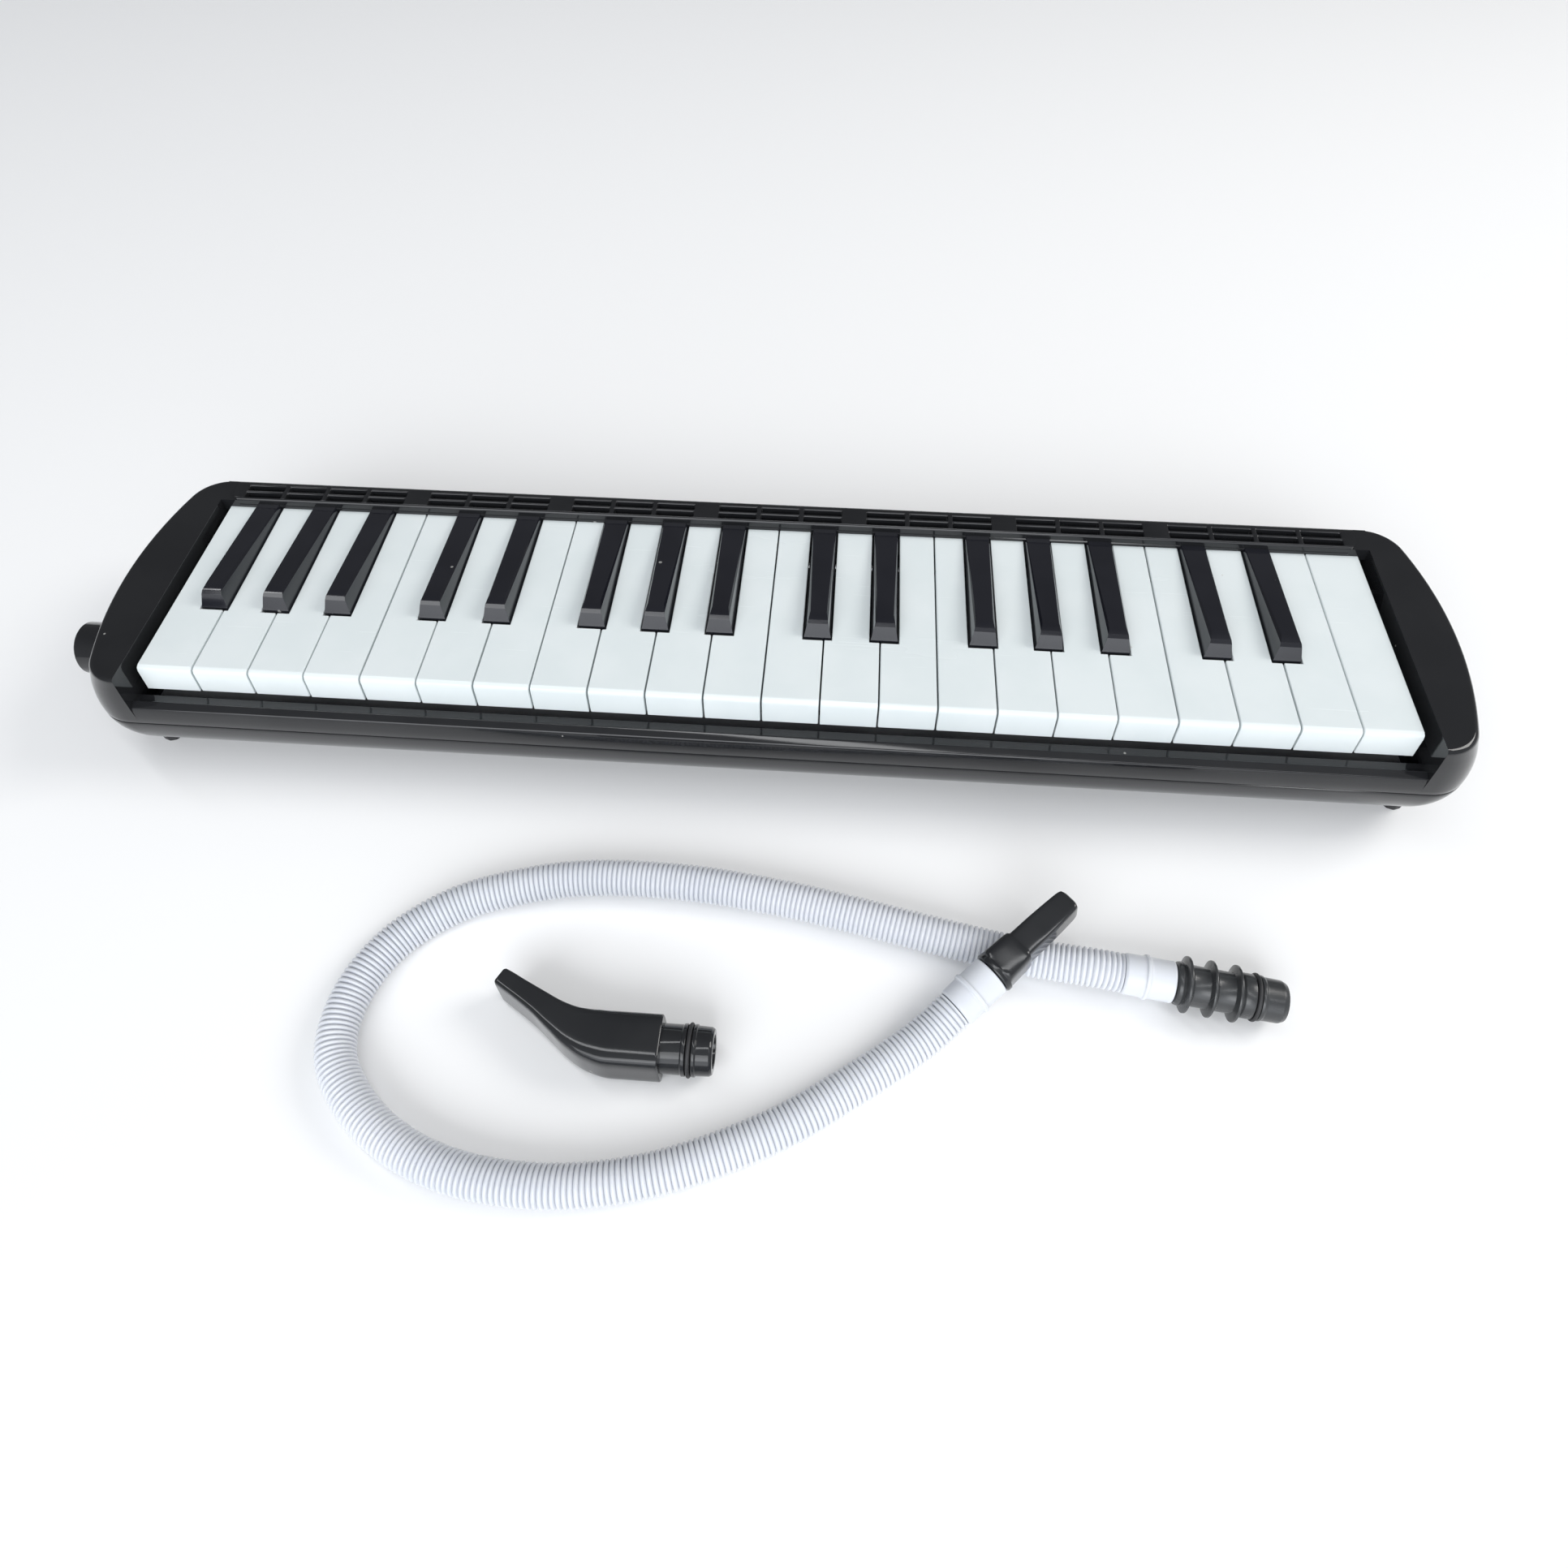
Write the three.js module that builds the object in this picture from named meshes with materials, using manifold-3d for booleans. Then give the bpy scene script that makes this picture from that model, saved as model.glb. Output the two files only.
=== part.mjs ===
import * as THREE from 'three';
import { mergeVertices } from 'three/addons/utils/BufferGeometryUtils.js';
import Module from 'manifold-3d';

const wasm = await Module();
wasm.setup();

// A 37-key melodica with its playing hose and its short mouthpiece laid out in front.
// Millimetres. X runs up the keyboard, Y from the player's side to the back, Z up.
// X = 0 is the middle of the keyboard, Y = 0 the front edge of the white keys and
// Z = 0 the surface that everything stands on.

// ---- driving dimensions: keyboard
const whiteCount = 22;
const whitePitch = 18;
const keyGap = 0.5;
const keyTop = 41;
const keyBottom = 31.7;
const keyRear = 76.8;
const keyWall = 1.4;
const keyPlate = 1.8;
const blackWidth = 8.7;
const blackTopWidth = 6.4;
const blackRise = 5.8;
const blackFront = 26.9;
const notchFront = 26;
const pivotY = 66;
const pivotZ = 34.5;
const rodRadius = 1.25;
const rodClear = 0.4;
const hubWidth = 6;
const tailRear = 84.6;
const padFront = 78.6;
const padRear = 83.5;
const padSeat = 31.9;
const blackShift = { F: -3.3, G: -0.6, A: 2.3, C: -2.1, D: 1.3 };

// ---- driving dimensions: case
const caseHalf = 218.6;
const caseFront = -8.5;
const caseRear = 89.2;
const endRadius = 133;
const cornerRadius = 13;
const splitZ = 24;
const caseTop = 44;
const caseBottom = 4.5;
const wall = 2.2;
const seam = 0.15;
const wellHalf = 200.3;
const railTop = 45;
const railFront = 77.3;
const railHalf = 196.5;
const railUnder = 42.2;
const railEnd = 5.5;
const belly = 17.8;
const ribPitch = 140;
const screwX = 70;
const screwRows = [22, 60];
const footX = 206;
const footY = [4, 76.7];
const footHeight = 14;
const socketY = 18.2;
const socketZ = 28.8;
const socketRadius = 8.7;
const boreRadius = 6.8;
const socketTip = 227.5;

// ---- driving dimensions: wind chest
const chestHalf = 197;
const chestFront = 13.5;
const chestRear = 85;
const chestTop = 26;
const chestWall = 1.8;
const reedTip = 80;
const reedLongest = 26;
const reedShortest = 12;
const inletY = 20.7;
const inletZ = 20;

// ---- driving dimensions: hose and loose mouthpiece
const hoseRadius = 5.6;
const hoseGround = 5.75;
const cuffLength = 14;
const joint = 0.3;
const mouthY = -96.2;
const mouthZ = 7.9;
const spigotStart = -19.4;
const ringRadius = 0.6;

const xLeft = -whiteCount * whitePitch / 2;
const noteRow = 'FGABCDE';

// ---------------------------------------------------------------- shape helpers

// The solid that a closed triangle mesh bounds, with its faces turned outwards.
function solidOf(geometry) {
  const bare = new THREE.BufferGeometry();
  bare.setAttribute('position', geometry.getAttribute('position'));
  bare.setIndex(geometry.index);
  const merged = mergeVertices(bare, 1e-4);
  const points = merged.getAttribute('position').array;
  const corners = [];
  let volume = 0;
  const a = new THREE.Vector3();
  const b = new THREE.Vector3();
  const c = new THREE.Vector3();
  for (let i = 0; i < merged.index.count; i += 3) {
    const [p, q, r] = [0, 1, 2].map((k) => merged.index.getX(i + k));
    if (p === q || q === r || r === p) continue;
    corners.push(p, q, r);
    a.fromArray(points, 3 * p);
    b.fromArray(points, 3 * q);
    c.fromArray(points, 3 * r);
    volume += a.dot(b.cross(c));
  }
  const triVerts = new Uint32Array(volume < 0 ? corners.reverse() : corners);
  return new wasm.Manifold(new wasm.Mesh({ numProp: 3, vertProperties: points, triVerts }));
}

function geometryOf(solid) {
  const mesh = solid.getMesh();
  const geometry = new THREE.BufferGeometry();
  geometry.setAttribute('position', new THREE.BufferAttribute(new Float32Array(mesh.vertProperties), 3));
  geometry.setIndex(new THREE.BufferAttribute(new Uint32Array(mesh.triVerts), 1));
  geometry.computeVertexNormals();
  return geometry;
}

function shapeOf(points) {
  return new THREE.Shape(points.map(([u, v]) => new THREE.Vector2(u, v)));
}

function extrude(shape, depth, columns, place, curveSegments = 6) {
  const geometry = new THREE.ExtrudeGeometry(shape, { depth, bevelEnabled: false, curveSegments });
  const turn = new THREE.Matrix4().makeBasis(...columns.map((v) => new THREE.Vector3(...v)));
  geometry.applyMatrix4(turn.setPosition(...place));
  return solidOf(geometry);
}

// Outlines are given as [y, z], [x, z] and [x, y] pairs in turn.
function alongX(outline, x0, x1) {
  return extrude(shapeOf(outline), x1 - x0, [[0, 1, 0], [0, 0, 1], [1, 0, 0]], [x0, 0, 0]);
}

function alongY(outline, y0, y1) {
  return extrude(shapeOf(outline), y1 - y0, [[1, 0, 0], [0, 0, 1], [0, -1, 0]], [0, y1, 0]);
}

function alongZ(outline, z0, z1) {
  return extrude(shapeOf(outline), z1 - z0, [[1, 0, 0], [0, 1, 0], [0, 0, 1]], [0, 0, z0]);
}

function block(x0, x1, y0, y1, z0, z1) {
  return alongZ([[x0, y0], [x1, y0], [x1, y1], [x0, y1]], z0, z1);
}

// A round bar along X between two places.
function barX(x0, x1, y, z, radius, sides = 12) {
  const ring = [];
  for (let i = 0; i < sides; i += 1) {
    const turn = (2 * Math.PI * (i + 0.5)) / sides;
    ring.push([y + radius * Math.cos(turn), z + radius * Math.sin(turn)]);
  }
  return alongX(ring, x0, x1);
}

// A turned piece: the profile holds [distance along the axis, radius] pairs and closes
// on the axis or on itself. The axis starts at place and runs along direction.
function turned(profile, place, direction, segments = 24) {
  const points = profile.map(([s, r]) => new THREE.Vector2(r, s));
  const geometry = new THREE.LatheGeometry(points, segments);
  const aim = new THREE.Quaternion();
  aim.setFromUnitVectors(new THREE.Vector3(0, 1, 0), new THREE.Vector3(...direction).normalize());
  geometry.applyQuaternion(aim);
  geometry.translate(...place);
  return solidOf(geometry);
}

// A skin over rings of equal point count, closed at both ends by fans.
function loft(rings) {
  const count = rings[0].length;
  const points = rings.flat().map((p) => p.clone());
  const index = [];
  for (let r = 0; r + 1 < rings.length; r += 1) {
    for (let i = 0; i < count; i += 1) {
      const j = (i + 1) % count;
      const low = r * count;
      const high = low + count;
      index.push(low + i, low + j, high + j, low + i, high + j, high + i);
    }
  }
  for (const [ring, flip] of [[0, true], [rings.length - 1, false]]) {
    const middle = rings[ring].reduce((sum, p) => sum.add(p), new THREE.Vector3()).divideScalar(count);
    points.push(middle);
    const hub = points.length - 1;
    for (let i = 0; i < count; i += 1) {
      const pair = [ring * count + i, ring * count + (i + 1) % count];
      if (flip) pair.reverse();
      index.push(hub, ...pair);
    }
  }
  const geometry = new THREE.BufferGeometry().setFromPoints(points);
  geometry.setIndex(index);
  return solidOf(geometry);
}

function joined(solids) {
  return solids.reduce((sum, one) => sum.add(one));
}

function drilled(solid, tools) {
  return tools.length ? solid.subtract(joined(tools)) : solid;
}

// ---------------------------------------------------------------- materials

function finish(color, roughness, metalness = 0) {
  return new THREE.MeshStandardMaterial({ color, roughness, metalness });
}

const blackGloss = finish(0x0b0d10, 0.12);
const whiteKeyPlastic = finish(0xe4eae9, 0.3);
const steel = finish(0xb9bcc0, 0.3, 1);
const brass = finish(0xc8a350, 0.35, 1);
const greyFelt = finish(0x4a4d52, 0.95);
const innerPlastic = finish(0x2a2c30, 0.5);
const hosePlastic = finish(0xe6e9f2, 0.45);
const darkRubber = finish(0x35373a, 0.6);

const instrument = new THREE.Group();
const playingHose = new THREE.Group();

function place(group, name, solid, material) {
  const mesh = new THREE.Mesh(geometryOf(solid), material);
  mesh.name = name;
  group.add(mesh);
}

// ---------------------------------------------------------------- keyboard

// Every key, low to high: its name, colour, and the X range of its rear part.
function keyList() {
  const keys = [];
  const sideClear = blackWidth / 2 + 0.4;
  let octave = 3;
  for (let i = 0; i < whiteCount; i += 1) {
    const note = noteRow[i % 7];
    const before = noteRow[(i + 6) % 7];
    if (note === 'C') octave += 1;
    const left = xLeft + i * whitePitch;
    const right = left + whitePitch;
    const sharpBelow = i > 0 && before in blackShift;
    const sharpAbove = i < whiteCount - 1 && note in blackShift;
    keys.push({
      name: `white_key_${note}${octave}`,
      black: false,
      front: [left + keyGap / 2, right - keyGap / 2],
      rear: [
        sharpBelow ? left + blackShift[before] + sideClear : left + keyGap / 2,
        sharpAbove ? right + blackShift[note] - sideClear : right - keyGap / 2,
      ],
    });
    if (sharpAbove) {
      const middle = right + blackShift[note];
      const rear = [middle - blackWidth / 2, middle + blackWidth / 2];
      keys.push({ name: `black_key_${note}${octave}_sharp`, black: true, front: rear, rear });
    }
  }
  return keys;
}

// Plan outline of a white key, drawn in by an inset on every side but the rear.
function whitePlan(key, inset, y0, y1) {
  const [a, b] = [key.front[0] + inset, key.front[1] - inset];
  const [c, d] = [key.rear[0] + inset, key.rear[1] - inset];
  const step = notchFront - inset;
  const plan = [[a, y0], [b, y0]];
  if (d < b) plan.push([b, step], [d, step]);
  plan.push([d, y1], [c, y1]);
  if (c > a) plan.push([c, step], [a, step]);
  return plan;
}

// Points of a round corner from one direction to another, about its centre.
function arc(cx, cy, radius, from, to, steps) {
  const points = [];
  for (let i = 0; i <= steps; i += 1) {
    const turn = from + ((to - from) * i) / steps;
    points.push([cx + radius * Math.cos(turn), cy + radius * Math.sin(turn)]);
  }
  return points;
}

// Hub, tail and valve pad: the narrow web behind the pivot that each key shares. The
// hub clips down over the rod by a slot that is open underneath.
function keyTail(key) {
  const middle = (key.rear[0] + key.rear[1]) / 2;
  const under = keyTop - keyPlate + 0.2;
  const hubUnder = pivotZ - 2.4;
  const clip = rodRadius + rodClear;
  const outline = [
    [58.5, under], [62, hubUnder], [pivotY - clip, hubUnder], [pivotY - clip, pivotZ + clip],
    [pivotY + clip, pivotZ + clip], [pivotY + clip, hubUnder], [70, hubUnder], [73.5, 35], [padFront, 35],
    [padFront, padSeat + joint], [padRear, padSeat + joint], [tailRear, 37.5], [keyRear - 0.4, 37.5],
    [keyRear - 0.4, under],
  ];
  return alongX(outline, middle - hubWidth / 2, middle + hubWidth / 2);
}

function whiteKey(key) {
  const lip = arc(1.3, keyTop - 1.6, 1.6, Math.PI, Math.PI / 2, 2);
  const side = [
    [-1, keyBottom], ...lip, [keyRear, keyTop], [keyRear, keyTop - keyPlate],
    [61, keyTop - keyPlate], [57, keyBottom],
  ];
  const ceiling = keyTop - keyPlate;
  const hollow = [[0.6, keyBottom - 1], [1.3, ceiling], [63, ceiling], [63, keyBottom - 1]];
  const body = alongZ(whitePlan(key, 0, -3, 90), 20, 50).intersect(alongX(side, xLeft, -xLeft));
  const core = alongZ(whitePlan(key, keyWall, -3, 90), 20, 50).intersect(alongX(hollow, xLeft, -xLeft));
  return body.subtract(core).add(keyTail(key));
}

function blackKey(key) {
  const [left, right] = key.rear;
  const top = keyTop + blackRise;
  const draft = (blackWidth - blackTopWidth) / 2;
  const section = [
    [left, keyBottom], [right, keyBottom], [right, keyTop], [right - draft, top - 0.7],
    [right - draft - 0.6, top], [left + draft + 0.6, top], [left + draft, top - 0.7], [left, keyTop],
  ];
  const side = [
    [blackFront + 0.5, keyBottom], [blackFront, keyTop], [blackFront + 1.9, top - 1.5],
    [blackFront + 2.9, top - 0.6], [blackFront + 6, top], [keyRear, top],
    [keyRear, keyTop - keyPlate], [61, keyTop - keyPlate], [57, keyBottom],
  ];
  const inner = [
    [left + keyWall, keyBottom - 1], [right - keyWall, keyBottom - 1],
    [right - keyWall, keyTop], [left + keyWall, keyTop],
  ];
  const hollow = [
    [blackFront + 2, keyBottom - 1], [blackFront + 2, keyTop - keyPlate], [63, keyTop - keyPlate],
    [63, keyBottom - 1],
  ];
  const body = alongY(section, 20, 90).intersect(alongX(side, left - 1, right + 1));
  const core = alongY(inner, 20, 90).intersect(alongX(hollow, left - 1, right + 1));
  return body.subtract(core).add(keyTail(key));
}

const keys = keyList();
for (const key of keys) {
  if (key.black) place(instrument, key.name, blackKey(key), blackGloss);
  else place(instrument, key.name, whiteKey(key), whiteKeyPlastic);
}

// ---------------------------------------------------------------- case

// Plan outline of the case at one height. Both ends bow outwards on a large arc and
// meet the straight front and back in round corners; an inset draws all of it inwards.
function caseRing(inset, z) {
  const half = caseHalf - inset;
  const front = caseFront + inset;
  const rear = caseRear - inset;
  const round = cornerRadius - 0.5 * inset;
  const middle = (front + rear) / 2;
  const bowCentre = half - endRadius;
  const drop = middle - front - round;
  const cornerX = bowCentre + Math.sqrt((endRadius - round) ** 2 - drop ** 2);
  const lean = Math.atan2(drop, cornerX - bowCentre);
  const right = [
    ...arc(cornerX, front + round, round, -Math.PI / 2, -lean, 4),
    ...arc(bowCentre, middle, endRadius, -lean, lean, 4).slice(1, -1),
    ...arc(cornerX, rear - round, round, lean, Math.PI / 2, 4),
  ];
  const left = right.map(([x, y]) => [-x, y]).reverse();
  return [...right, ...left].map(([x, y]) => new THREE.Vector3(x, y, z));
}

function rowOf(count, make) {
  return Array.from({ length: count }, (_, i) => make(i));
}

// Clearance hole for the blow socket, through the left wall of both shells.
function socketHole() {
  return barX(-caseHalf - 5, -caseHalf + 9, socketY, socketZ, socketRadius + 0.3, 24);
}

// Rings of the bowl-shaped belly, drawn in by a wall thickness. Each ring stands on a
// quarter ellipse from the flat bottom up to the parting line.
function bellyRings(thick, steps = 5) {
  const depth = splitZ - caseBottom - seam;
  return rowOf(steps + 1, (i) => {
    const turn = (Math.PI / 2) * (1 - i / steps);
    const inset = thick + (belly - thick) * (1 - Math.cos(turn));
    return caseRing(inset, splitZ - seam - (depth - thick) * Math.sin(turn));
  });
}

function lowerCase() {
  const inner = [...bellyRings(wall, 4), caseRing(wall, splitZ + 1)];
  const bowl = loft(bellyRings(0)).subtract(loft(inner));
  const ribs = rowOf(3, (i) => {
    const x = (i - 1) * ribPitch;
    return block(x - 1, x + 1, 2, 79, caseBottom + 1, 12.8);
  });
  const bosses = [];
  const tools = [socketHole(), barX(caseHalf - 12, caseHalf + 5, 40, 15, 4.9, 20)];
  for (const x of [-screwX, screwX]) {
    for (const y of screwRows) {
      bosses.push(turned([[0, 0], [0, 3.6], [7.3, 3.6], [7.3, 0]], [x, y, caseBottom + 1], [0, 0, 1], 10));
      tools.push(turned([[0, 0], [0, 3], [1.4, 3], [1.4, 0]], [x, y, caseBottom - 0.5], [0, 0, 1], 12));
    }
  }
  return drilled(joined([bowl, ...ribs, ...bosses]), tools);
}

// Rear rail: a raised bar with rounded ends over the key tails, pierced by two rows of
// sound slots that stand in groups of four and three along its length.
function soundSlots() {
  const groups = [4, 3, 3, 3, 3, 3, 4];
  const pitch = 14.9;
  const slotLength = 13.2;
  const groupGap = 7.1;
  const rows = [[78.3, 80.9], [82, 84.4]];
  const total = groups.reduce((sum, n) => sum + n * pitch, 0) + groupGap * (groups.length - 1);
  const slots = [];
  let x = (pitch - slotLength - total) / 2;
  for (const count of groups) {
    for (let i = 0; i < count; i += 1) {
      for (const [y0, y1] of rows) slots.push(block(x, x + slotLength, y0, y1, railUnder - 1, railTop + 1));
      x += pitch;
    }
    x += groupGap;
  }
  return slots;
}

function rearRail() {
  const lipUnder = 39.4;
  const inside = [[87.4, railUnder], [78, railUnder], [78, lipUnder]];
  const section = [
    [railFront, lipUnder], [railFront, 41.6], [railFront - 0.3, 41.8], [railFront - 0.3, 42.2],
    [railFront, 42.4], ...arc(railFront + 1.1, railTop - 1.1, 1.1, Math.PI, Math.PI / 2, 3),
    [85.6, railTop], [87.2, 44], ...inside,
  ];
  const frontTurn = railFront - 1 + railEnd;
  const plan = [
    ...arc(railHalf - railEnd, frontTurn, railEnd, -Math.PI / 2, 0, 4), [railHalf, 95], [-railHalf, 95],
    ...arc(-railHalf + railEnd, frontTurn, railEnd, -Math.PI, -Math.PI / 2, 4),
  ];
  const rounded = alongX(section, -railHalf, railHalf).intersect(alongZ(plan, 30, 50));
  const base = [
    [railFront, lipUnder], [railFront, 43.2], [railFront + 0.8, caseTop], [87.3, caseTop], ...inside,
  ];
  return rounded.add(alongX(base, -wellHalf - 1, wellHalf + 1));
}

function upperCase() {
  const levels = [[0, splitZ + seam], [0.3, 33], [0.8, 39], [1.2, 42.4], [1.7, 43.5], [2.5, caseTop]];
  const outer = levels.map(([inset, z]) => caseRing(inset, z));
  const innerLevels = [[0, splitZ - 2], [0.3, 33], [1.4, caseTop - wall]];
  const inner = innerLevels.map(([inset, z]) => caseRing(inset + wall, z));
  const well = block(-wellHalf, wellHalf, -20, railFront, splitZ - 2, 60);
  const shell = loft(outer).subtract(loft(inner)).subtract(well);
  // front moulding: wall, rounded lip, glossy deck, and the shelf under the key fronts
  const lip = arc(-6.1, 30.9, 1.2, Math.PI * 0.85, Math.PI * 0.1, 5);
  const front = [
    [caseFront, splitZ + seam], [caseFront + 0.05, 27], [caseFront + 0.35, 29.6], ...lip, [-4.5, 30.8],
    [-1.6, 30.8], [-1.6, splitZ + 0.3], [11.5, splitZ + 0.3], [11.5, splitZ - 1.7], [-3.8, splitZ - 1.7],
    [-3.8, 28.6], [-6.3, 28.6], [-6.3, splitZ + seam],
  ];
  const cheeks = [];
  for (const side of [-1, 1]) {
    const [a, b] = [side * wellHalf, side * (wellHalf + 2)].sort((p, q) => p - q);
    cheeks.push(block(a, b, -6, 87, splitZ + seam, caseTop - 1));
    const bulge = [
      [-6.3, splitZ + seam], [caseFront + 0.1, splitZ + seam], [caseFront + 0.1, 27],
      [caseFront + 0.5, 34], [caseFront + 0.9, 39], [-6.7, caseTop - 1], [-5, caseTop - 1],
    ];
    cheeks.push(alongX(bulge, a, b));
  }
  let body = joined([shell, alongX(front, -wellHalf - 1, wellHalf + 1), ...cheeks, rearRail()]);
  const sleeveGap = block(-wellHalf - 3, -wellHalf + 1, socketY - 7, socketY + 8, splitZ - 3, 33);
  const rodEnds = barX(-wellHalf - 3, wellHalf + 3, pivotY, pivotZ, rodRadius + rodClear, 10);
  return drilled(body, [socketHole(), sleeveGap, rodEnds, ...soundSlots()]);
}

place(instrument, 'lower_case', lowerCase(), blackGloss);
place(instrument, 'upper_case', upperCase(), blackGloss);

// Rubber feet under the four corners, each cut to the curve of the belly it seats on.
const belowBelly = loft(bellyRings(-joint));
const footProfile = [[0, 0], [0, 3], [0.5, 3.4], [footHeight, 4.6], [footHeight, 0]];
for (const [end, y] of [['front', footY[0]], ['rear', footY[1]]]) {
  for (const [side, x] of [['left', -footX], ['right', footX]]) {
    const post = turned(footProfile, [x, y, 0], [0, 0, 1], 10);
    place(instrument, `foot_${end}_${side}`, post.subtract(belowBelly), darkRubber);
  }
}

// ---------------------------------------------------------------- wind chest and action

function tailMiddle(key) {
  return (key.rear[0] + key.rear[1]) / 2;
}

function windChest() {
  const outline = [
    [chestFront, 16.5], [chestRear, 16.5], [chestRear, padSeat], [76.5, padSeat], [76.5, 29], [73, chestTop],
    [chestFront, chestTop],
  ];
  const [front, rear, half] = [chestFront + chestWall, chestRear - chestWall, chestHalf - chestWall];
  const cavity = [
    [front, 15], [rear, 15], [rear, padSeat - 2.2], [78.3, padSeat - 2.2], [78.3, 28], [73.5, 23.8],
    [front, 23.8],
  ];
  const box = alongX(outline, -chestHalf, chestHalf).subtract(alongX(cavity, -half, half));
  const ports = keys.map((key) => block(tailMiddle(key) - 2, tailMiddle(key) + 2, 79.6, 82.6, 28, 35));
  const postSide = [[61.5, chestTop - 1], [70.5, chestTop - 1], [68.6, 36.8], [63.4, 36.8]];
  const posts = [4, 7, 11, 14, 18, 21].map((boundary) => {
    const x = xLeft + boundary * whitePitch;
    return alongX(postSide, x - 2, x + 2);
  });
  const inlet = barX(-chestHalf - 1, -chestHalf + 4, inletY, inletZ, 2.9, 12);
  const rodWay = barX(-chestHalf, chestHalf, pivotY, pivotZ, rodRadius + rodClear, 8);
  return drilled(joined([box, ...posts]), [...ports, inlet, rodWay]);
}

// A plate of graded reeds: every tongue lies in its own slot and is fixed at one end.
function reedPlate() {
  const [low, high] = [20.3, 21.5];
  const plate = block(-chestHalf + 2.2, chestHalf - 2.2, chestFront + 2.2, chestRear - 2.2, low, high);
  const slots = [];
  const reeds = [];
  keys.forEach((key, i) => {
    const x = tailMiddle(key);
    const root = reedTip - reedLongest + ((reedLongest - reedShortest) * i) / (keys.length - 1);
    slots.push(block(x - 1.3, x + 1.3, root, reedTip, low - 1, high + 1));
    reeds.push(block(x - 1, x + 1, root - 0.2, reedTip - 0.3, low, low + 0.4));
  });
  return plate.subtract(joined(slots)).add(joined(reeds));
}

function chestCover() {
  const half = chestHalf - 2.2;
  const tray = block(-half, half, chestFront + 2.2, chestRear - 4.5, 13.2, 19);
  const dish = block(-half + 1.6, half - 1.6, chestFront + 4, chestRear - 6.3, 14.8, 20);
  const inlet = barX(-half - 1, -half + 4, inletY, 17.3, 1.6, 8);
  return tray.subtract(dish).subtract(inlet);
}

place(instrument, 'wind_chest', windChest(), innerPlastic);
place(instrument, 'reed_plate', reedPlate(), brass);
place(instrument, 'chest_cover', chestCover(), innerPlastic);
place(instrument, 'key_rod', barX(-wellHalf - 1.5, wellHalf + 1.5, pivotY, pivotZ, rodRadius, 10), steel);
place(instrument, 'key_stop_felt', block(-197, 197, 0.6, 7, splitZ + 0.6, splitZ + 2.2), greyFelt);

// One leaf for each key stands on a common strip and reaches up into the hollow key.
function springComb() {
  const strip = block(-196, 196, 36, 42, chestTop + 0.3, chestTop + 0.9);
  const leaf = [[40, chestTop + 0.3], [41.6, chestTop + 0.3], [54.4, 37.2], [53.6, 37.2]];
  const leaves = keys.map((key) => alongX(leaf, tailMiddle(key) - 1, tailMiddle(key) + 1));
  return joined([strip, ...leaves]);
}

place(instrument, 'key_spring_comb', springComb(), steel);

// ---------------------------------------------------------------- air path at the ends

function blowSocket() {
  const profile = [
    [0, boreRadius + 0.5], [0, socketRadius - 0.6], [0.6, socketRadius], [17, socketRadius],
    [17, socketRadius + 1.2], [18.4, socketRadius + 1.2], [18.4, 4.6], [20, 4.6], [20, 3], [16, 3],
    [16, boreRadius], [0.5, boreRadius], [0, boreRadius + 0.5],
  ];
  return turned(profile, [-socketTip, socketY, socketZ], [1, 0, 0], 16);
}

// Rubber sleeve that carries the breath from the socket down to the wind chest.
function inletSleeve() {
  const tube = new THREE.Shape().absarc(0, 0, 4.4, 0, 2 * Math.PI);
  tube.holes.push(new THREE.Path().absarc(0, 0, 3, 0, 2 * Math.PI));
  const from = new THREE.Vector3(-socketTip + 20.8, socketY, socketZ);
  const to = new THREE.Vector3(-chestHalf - joint, inletY, inletZ);
  const path = new THREE.CubicBezierCurve3(
    from, from.clone().add(new THREE.Vector3(5, 0, 0)), to.clone().add(new THREE.Vector3(-6, 0, 0)), to,
  );
  const geometry = new THREE.ExtrudeGeometry(tube, { steps: 6, extrudePath: path, curveSegments: 5 });
  return solidOf(geometry);
}

function releaseButton() {
  const profile = [
    [0, 0], [0, 4.2], [1.6, 4.2], [1.6, 1.8], [4, 1.8], [4, 5.6], [5.4, 5.6], [5.4, 4.5],
    [19.2, 4.5], [20, 3.8], [20.2, 0],
  ];
  return turned(profile, [chestHalf + 2.8, 40, 15], [1, 0, 0], 16);
}

place(instrument, 'blow_socket', blowSocket(), blackGloss);
place(instrument, 'inlet_sleeve', inletSleeve(), darkRubber);
place(instrument, 'release_button', releaseButton(), blackGloss);

// ---------------------------------------------------------------- mouthpieces and hose

// Oval ring of a mouthpiece: rounded by the exponent, across the path and up.
function ovalRing(centre, heading, halfThick, halfWide, power, steps = 14) {
  const across = new THREE.Vector3(-heading.y, heading.x, 0).normalize();
  const up = new THREE.Vector3().crossVectors(heading, across).normalize();
  const soft = (v) => Math.sign(v) * Math.abs(v) ** (2 / power);
  return rowOf(steps, (i) => {
    const turn = (2 * Math.PI * (i + 0.5)) / steps;
    return centre.clone()
      .addScaledVector(across, halfThick * soft(Math.cos(turn)))
      .addScaledVector(up, halfWide * soft(Math.sin(turn)));
  });
}

// A mouthpiece as stations along its spine: [x, y, z, half thickness, half width, power].
function mouthpieceSkin(stations) {
  const centres = stations.map(([x, y, z]) => new THREE.Vector3(x, y, z));
  return loft(stations.map(([, , , thick, wide, power], i) => {
    const before = centres[Math.max(i - 1, 0)];
    const after = centres[Math.min(i + 1, centres.length - 1)];
    return ovalRing(centres[i], after.clone().sub(before).normalize(), thick, wide, power);
  }));
}

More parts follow.
